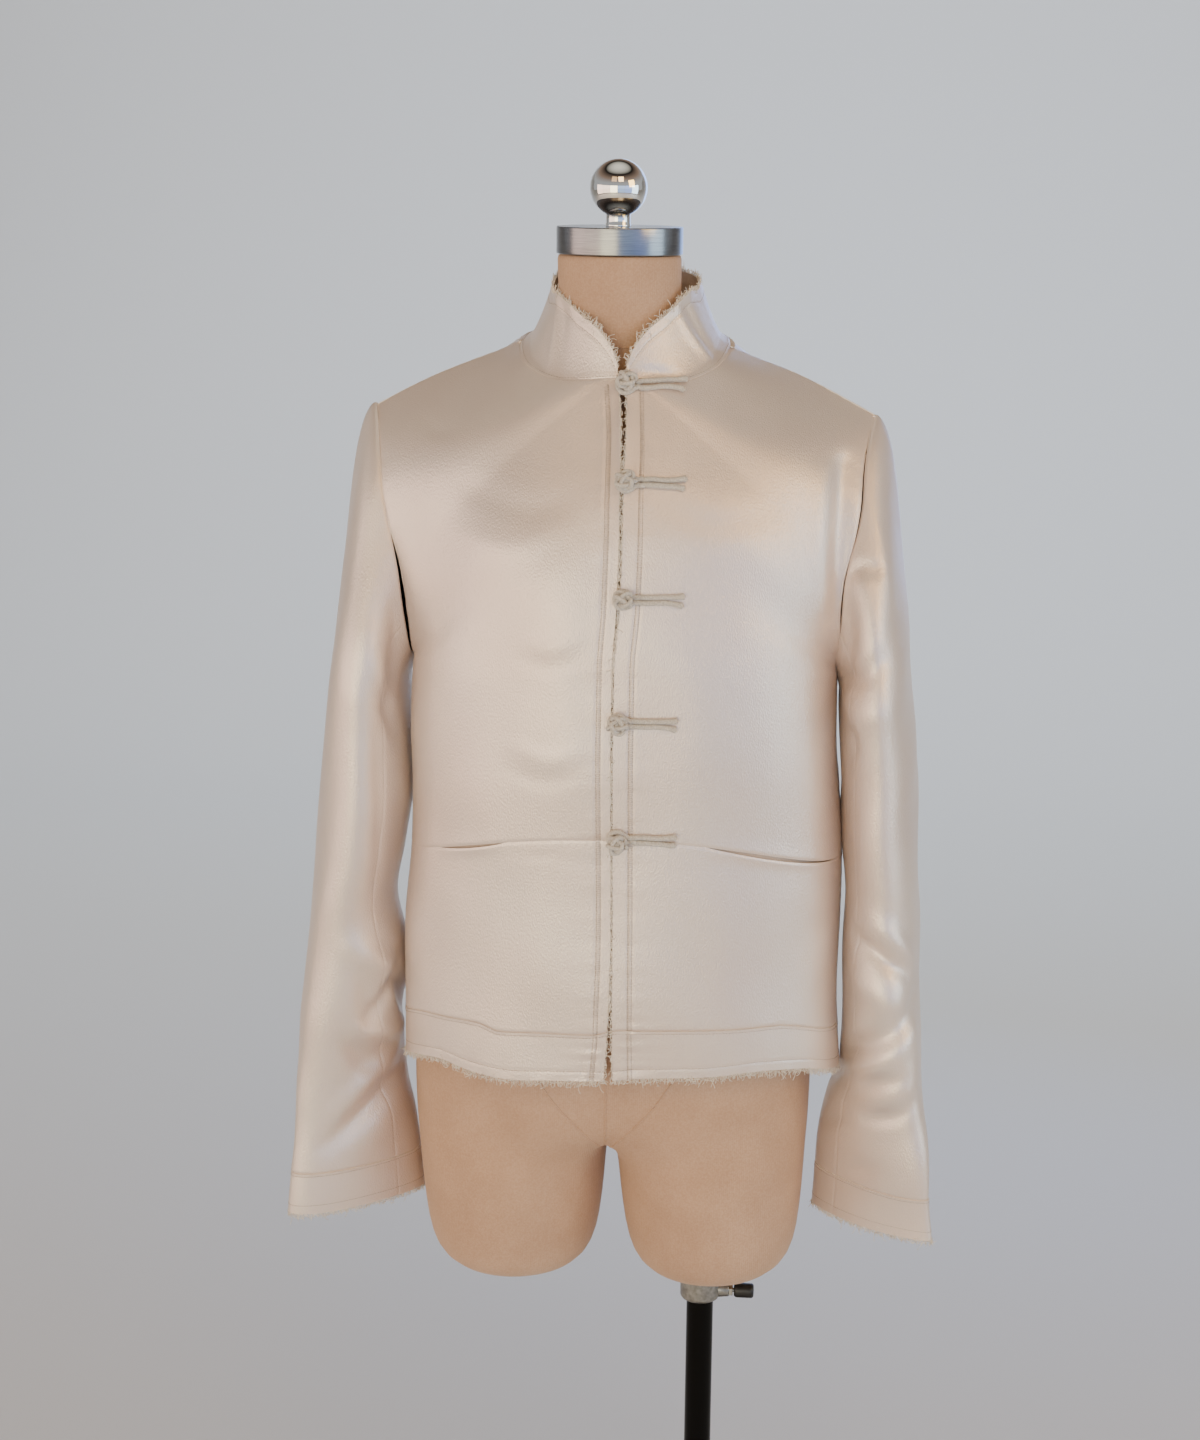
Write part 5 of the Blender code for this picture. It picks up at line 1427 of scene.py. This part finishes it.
def build_form():
    """The trunk's rings, capped at the neck, and two thighs that part at a bridge between them."""
    points = [point for z in RING_HEIGHTS for point in trunk_ring(z)]
    n = FORM_COLUMNS
    index = np.arange(len(points)).reshape(-1, n)
    faces = ring_quads(index)
    points.append(np.array([FORM_X, NECK_Y, RING_HEIGHTS[-1]]))
    faces += [[index[-1, c], index[-1, (c + 1) % n], index.size] for c in range(n)]
    bridge = []
    for share in np.linspace(0, 1, 7)[1:-1]:
        z = CROTCH_Z + 0.0012 * (2 * share - 1) ** 2
        points.append(np.array([FORM_X, -0.062 + 0.132 * share, z]))
        bridge.append(len(points) - 1)
    half = n // 2
    between = np.linspace(328, 392, len(bridge) + 2)[1:-1]
    angle = np.radians(np.concatenate([np.linspace(32, 328, half + 1), between]))
    for side in (1, -1):
        last = [(side * c) % n for c in range(half + 1)] + bridge[::-1]
        around = [(i, (i + 1) % len(last)) for i in range(len(last))]
        for z in THIGH["z"][::-1]:
            new = list(range(len(points), len(points) + len(angle)))
            points.extend(thigh_ring(side, z, angle))
            faces += [[last[i], new[i], new[j], last[j]][::side] for i, j in around]
            last = new
        points.append(np.mean([points[i] for i in last], axis=0))
        faces += [[last[i], len(points) - 1, last[j]][::side] for i, j in around]
    form = mesh_piece(
        "jersey_form", points, faces, [JERSEY], slot="beige_jersey", replaces="dress_form"
    )
    smoother = form.modifiers.new("smooth", "SUBSURF")
    smoother.levels = smoother.render_levels = 1
    return form


form = build_form()
print("form", len(form.data.vertices), "points")

# %% Seams of the form's cover
bpy.context.view_layer.update()
form_tree = BVHTree.FromObject(form, bpy.context.evaluated_depsgraph_get())
SEAM_LINES = (
    "0.5 820 0 790 -1 765 -2 752",
    "-56 822 -42 800 -20 772 -6 752",
    "54 822 40 800 18 772 2 752",
)


def on_form(x, z, way=1.0):
    """A point just above the cover, seen from the front, or from the back where way is -1."""
    spot, normal, _, _ = form_tree.ray_cast(Vector((x, -way, z)), Vector((0.0, way, 0.0)))
    return np.array(spot) + np.array(normal) * 0.1 * MM


seams = []
for text in SEAM_LINES:
    numbers = [float(number) / 1000 for number in text.split()]
    route = curve([(x, 0.0, z) for x, z in zip(numbers[::2], numbers[1::2])], 40)
    seams.append([on_form(x, z) for x, _, z in route])
seams.append([on_form(FORM_X, z, -1.0) for z in np.linspace(0.822, 0.755, 40)])
seams = [along(np.array(seam), np.linspace(0, 1, 40)) for seam in seams]
cover = {"material": JERSEY, "sides": 6, "slot": "beige_jersey"}
strands("form_cover_seams", seams, 0.55 * MM, **cover)
ring = trunk_ring(1.4138)
strands("form_neck_seam", [np.concatenate([ring, ring[:2]])], 0.7 * MM, **cover)
print("cover seams", len(seams) + 1)

# %% [markdown]
# ## Metal and plastic
# The cap on the neck is spun aluminium with fine turning marks. The finial is a chromed ball.
# The base and the pole are steel under a black powder coat, which is finely pebbled. The clamp
# is die-cast zinc, and its knob is moulded nylon on a steel screw. To the eye, chrome mirrors
# sharply, spun metal draws its highlight out across the marks, cast zinc is dull and grainy, the
# powder coat stays black under a soft gloss, and nylon is matte. One noise gives each its grain.

# %% Hard finishes
def hard(name, light, dark, scale, bump, stretch=(1, 1, 1), **sockets):
    """A hard finish whose fine grain gives both its tones and its relief."""
    return surface(name, (dark, light), scale, 4.0, (bump, 0.3), stretch=stretch, **sockets)


TURNING_MARKS = (1, 1, 30)
CHROME = hard(
    "polished_chrome_plated_steel", "#F2F2F0", "#E6E7E8", 30, 0.004, Metallic=1.0, Roughness=0.045
)
BRUSHED = hard(
    "brushed_aluminium_spun", "#8F9196", "#7A7C82", 60, 0.05, TURNING_MARKS,
    Metallic=1.0, Roughness=0.2, Anisotropic=0.5,
)
ZINC = hard("die_cast_zinc_as_cast", "#A3A29E", "#7F7E7B", 240, 0.35, Metallic=0.85, Roughness=0.42)
BLACK = hard(
    "black_powder_coated_steel", "#040405", "#020203", 900, 0.12,
    Roughness=0.20, Specular_IOR_Level=0.12,
)
NYLON = hard("black_nylon_moulded", "#1A1A1B", "#0F0F10", 500, 0.22, Roughness=0.42, IOR=1.53)
SCREW_STEEL = hard(
    "zinc_plated_steel_screw", "#C9C8C2", "#A9A9A4", 400, 0.08, Metallic=1.0, Roughness=0.28
)
print("finishes", len(bpy.data.materials))

# %% Cap, ball and rod
CAP_RADIUS, CAP_BOTTOM, CAP_TOP = 0.0503, 1.4858, 1.5072
BALL_RADIUS, BALL_Z, BALL_X, STEM_RADIUS = 0.0228, 1.5373, -0.0043, 0.0100
CLEAR = 0.4 * MM
TIP = 0.3 * MM  # profiles stop this far from their axis, and a small cap closes them


def bar(radius, top, bottom, round_off, steps=4):
    """The profile of a plain round bar with rounded edges."""
    return rounded([(TIP, top), (radius, top), (radius, bottom), (TIP, bottom)], round_off, steps)


cap = bar(CAP_RADIUS, CAP_TOP, CAP_BOTTOM, 0.9 * MM, 5)
place = {"centre": (FORM_X, NECK_Y, 0.0), "steps": 128}
look = {"material": BRUSHED, "slot": "brushed_aluminium"}
turned("spun_neck_cap", cap, replaces="neck_cap", **place, **look)

stop = math.pi - math.asin(STEM_RADIUS / BALL_RADIUS)
ball = [
    (max(BALL_RADIUS * math.sin(a), TIP), BALL_Z + BALL_RADIUS * math.cos(a))
    for a in np.linspace(0, stop, 60)
]
neck = BALL_Z + BALL_RADIUS * math.cos(stop)
foot_z = CAP_TOP + CLEAR
stem = [(STEM_RADIUS - 0.3 * MM, neck - 0.8 * MM), (STEM_RADIUS - 0.3 * MM, foot_z + 2 * MM)]
stem += [(STEM_RADIUS, foot_z + 1.2 * MM), (STEM_RADIUS, foot_z), (TIP, foot_z)]
place = {"centre": (BALL_X, NECK_Y, 0.0), "steps": 128}
look = {"material": CHROME, "slot": "polished_chrome"}
turned("chrome_finial", ball + stem, replaces="finial", **place, **look)

ON_POLE = (POLE_X, 0.0, 0.0)
rod = bar(0.0092, 0.6936, 0.25, 0.8 * MM)
turned("chrome_inner_rod", rod, ON_POLE, steps=64, body="lift", replaces="inner_rod", **look)
print("cap, ball and rod done")

# %% Clamp and knob
CLAMP_RADIUS, CLAMP_BOTTOM, CLAMP_TOP, SEAT = 0.0172, 0.5895, 0.6215, 0.0120
SCREW_Z, BOSS_RADIUS, BOSS_LENGTH = 0.5975, 0.0058, 0.0115
CAST_BEVEL, CAST_ROUND = 0.8 * MM, 4 * MM
ring = [(SEAT, CLAMP_TOP - 1 * MM), (SEAT + CAST_BEVEL, CLAMP_TOP)]
ring += [(CLAMP_RADIUS - CAST_BEVEL, CLAMP_TOP), (CLAMP_RADIUS, CLAMP_TOP - CAST_BEVEL)]
middle_x, middle_z = CLAMP_RADIUS - CAST_ROUND, CLAMP_BOTTOM + CAST_ROUND
for a in np.radians((0, 22, 45, 68, 90)):
    ring.append((middle_x + CAST_ROUND * math.cos(a), middle_z - CAST_ROUND * math.sin(a)))
ring += [(SEAT, CLAMP_BOTTOM)]
cast = {"body": "stand", "slot": "cast_zinc"}
turned("cast_clamp_ring", ring, ON_POLE, ZINC, closed=True, replaces="pole_clamp", **cast)
boss_end = POLE_X + CLAMP_RADIUS + BOSS_LENGTH
boss_start = POLE_X + CLAMP_RADIUS - 1.5 * MM
boss = [(TIP, boss_end - 3.4 * MM), (BOSS_RADIUS, boss_end - 3.4 * MM)]
boss = rounded(boss + [(BOSS_RADIUS + 0.9 * MM, boss_start), (TIP, boss_start)], 0.8 * MM)
on_screw = {"centre": (0.0, 0.0, SCREW_Z), "axis": "X"}
turned("cast_clamp_boss", boss, material=ZINC, steps=48, **on_screw, **cast)
nut = bar(5.6 * MM, boss_end - 0.2 * MM, boss_end - 3.3 * MM, 0.4 * MM)
turned("clamp_nut", nut, material=SCREW_STEEL, steps=6, **on_screw, **cast)

knob = [(TIP, 0.0180), (0.0050, 0.0180), (0.0064, 0.0166), (0.0064, 0.0030)]
knob = rounded(knob + [(0.0052, 0.0008), (0.0022, 0.0008), (TIP, 0.0008)], 0.9 * MM)
held = {"centre": (boss_end, 0.0, SCREW_Z), "axis": "X", "body": "knob", "slot": "black_nylon"}
turned("nylon_knob", knob, material=NYLON, replaces="clamp_knob", **held)
screw = bar(0.0020, 0.0012, -0.0152, 0.4 * MM)
turned("knob_screw", screw, material=SCREW_STEEL, steps=32, **held)
print("clamp and knob done")

# %% Pole and base
POLE_RADIUS, POLE_BORE, POLE_TOP, POLE_FOOT = 0.0116, 0.0100, 0.6195, 0.0154
POLE_FLOOR, POLE_BEVEL = 0.230, 0.4 * MM
pole = [(POLE_BORE, POLE_FLOOR), (POLE_BORE, POLE_TOP - POLE_BEVEL)]
pole += [(POLE_BORE + POLE_BEVEL, POLE_TOP), (POLE_RADIUS - POLE_BEVEL, POLE_TOP)]
pole += [(POLE_RADIUS, POLE_TOP - 0.5 * MM), (POLE_RADIUS, POLE_FOOT), (TIP, POLE_FOOT)]
pole += [(TIP, POLE_FLOOR)]
coat = {"centre": ON_POLE, "material": BLACK, "body": "stand", "slot": "black_powder_coat"}
turned("coated_pole", pole, steps=72, closed=True, replaces="stand_pole", **coat)
BASE = (
    "0.3 15 12 15 12 49 13 50 21.5 50 24 46.5 26.2 20 30 14.5 36 12 187 12 190 9 190 0.5 "
    "189.5 0 0.3 0"
)
base = np.array(BASE.split(), float).reshape(-1, 2) / 1000
turned("coated_base", rounded(base, 2.2 * MM, 5), steps=160, replaces="stand_base", **coat)
print("pole and base done")

# %% [markdown]
# ## Pocket facings
# Behind each pocket mouth a strip of the same satin closes the gap, turned to its duller side.
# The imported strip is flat, so it is only cut finer and given a slight wave.

# %% Pocket facings
FACING = satin("satin_pocket_facing", ("#CDB6A4", "#D6C0AF"), 0.5, 0.1, 0.1)
FACING_HEIGHT, FACING_WALL = 47 * MM, 1.2 * MM
for side_name in SIDES:
    name = f"pocket_facing_{side_name}"
    strip = bmesh.new()
    strip.from_mesh(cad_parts[name].data)
    bmesh.ops.remove_doubles(strip, verts=strip.verts, dist=0.01 * MM)
    area = sum(face.calc_area() for face in strip.faces)
    bmesh.ops.subdivide_edges(strip, edges=strip.edges, cuts=3, use_grid_fill=True)
    strip.verts.index_update()
    points = np.array([corner.co for corner in strip.verts])
    faces = [[corner.index for corner in face.verts] for face in strip.faces]
    strip.free()
    wave = np.sin(points[:, 0] / (9 * MM) + points[:, 2] / (13 * MM))
    points[:, 1] += 0.25 * MM * (1 + wave)
    facing = mesh_piece(
        f"satin_{name}", points, faces, [FACING], slot="satin_facing", replaces=name
    )
    sharpen(facing, 50)
    width = (area - 2 * FACING_HEIGHT * FACING_WALL) / (2 * FACING_HEIGHT + 2 * FACING_WALL)
    width = round(width, 3)
    SHEETS[name] = (facing, width, FACING_HEIGHT, width * FACING_HEIGHT)
print("facings", [name for name in SHEETS if "facing" in name])

# %% [markdown]
# ## Floor and the sizes of the sheets
# The floor is one plain pale sweep that turns up into a wall. The size of each cut piece's flat
# cut is printed, measured on the net before any fold was added.

# %% Sweep
WALL_BEND, BEND_START, WALL_TOP = 2.0, 4.0, 4.4
profile = [(-30.0, 0.0), (BEND_START, 0.0)]
for a in np.radians(np.linspace(5, 90, 18)):
    profile.append((BEND_START + WALL_BEND * math.sin(a), WALL_BEND - WALL_BEND * math.cos(a)))
profile.append((BEND_START + WALL_BEND, WALL_TOP))
points = [(x, y, z) for y, z in profile for x in (-14, 0, 14)]
index = np.arange(len(points)).reshape(-1, 3)
PAPER = finish("pale_studio_sweep", Roughness=0.9, Base_Color=linear("#DADCDD"))[0]
sweep_mesh = bpy.data.meshes.new("sweep")
sweep_mesh.from_pydata(points, [], grid_quads(index).reshape(-1, 4).tolist())
sweep_mesh.materials.append(PAPER)
sweep_mesh.shade_smooth()
sweep = link(bpy.data.objects.new("sweep", sweep_mesh))
print("sweep", len(points), "points")

# %% Sheets
for name, (obj, width, length, area) in SHEETS.items():
    area = min(area / (width * length), 1.0) * width * length
    print(f"{obj.name}: {width * 1000:.0f} x {length * 1000:.0f} mm, {area * 1e4:.0f} cm2")
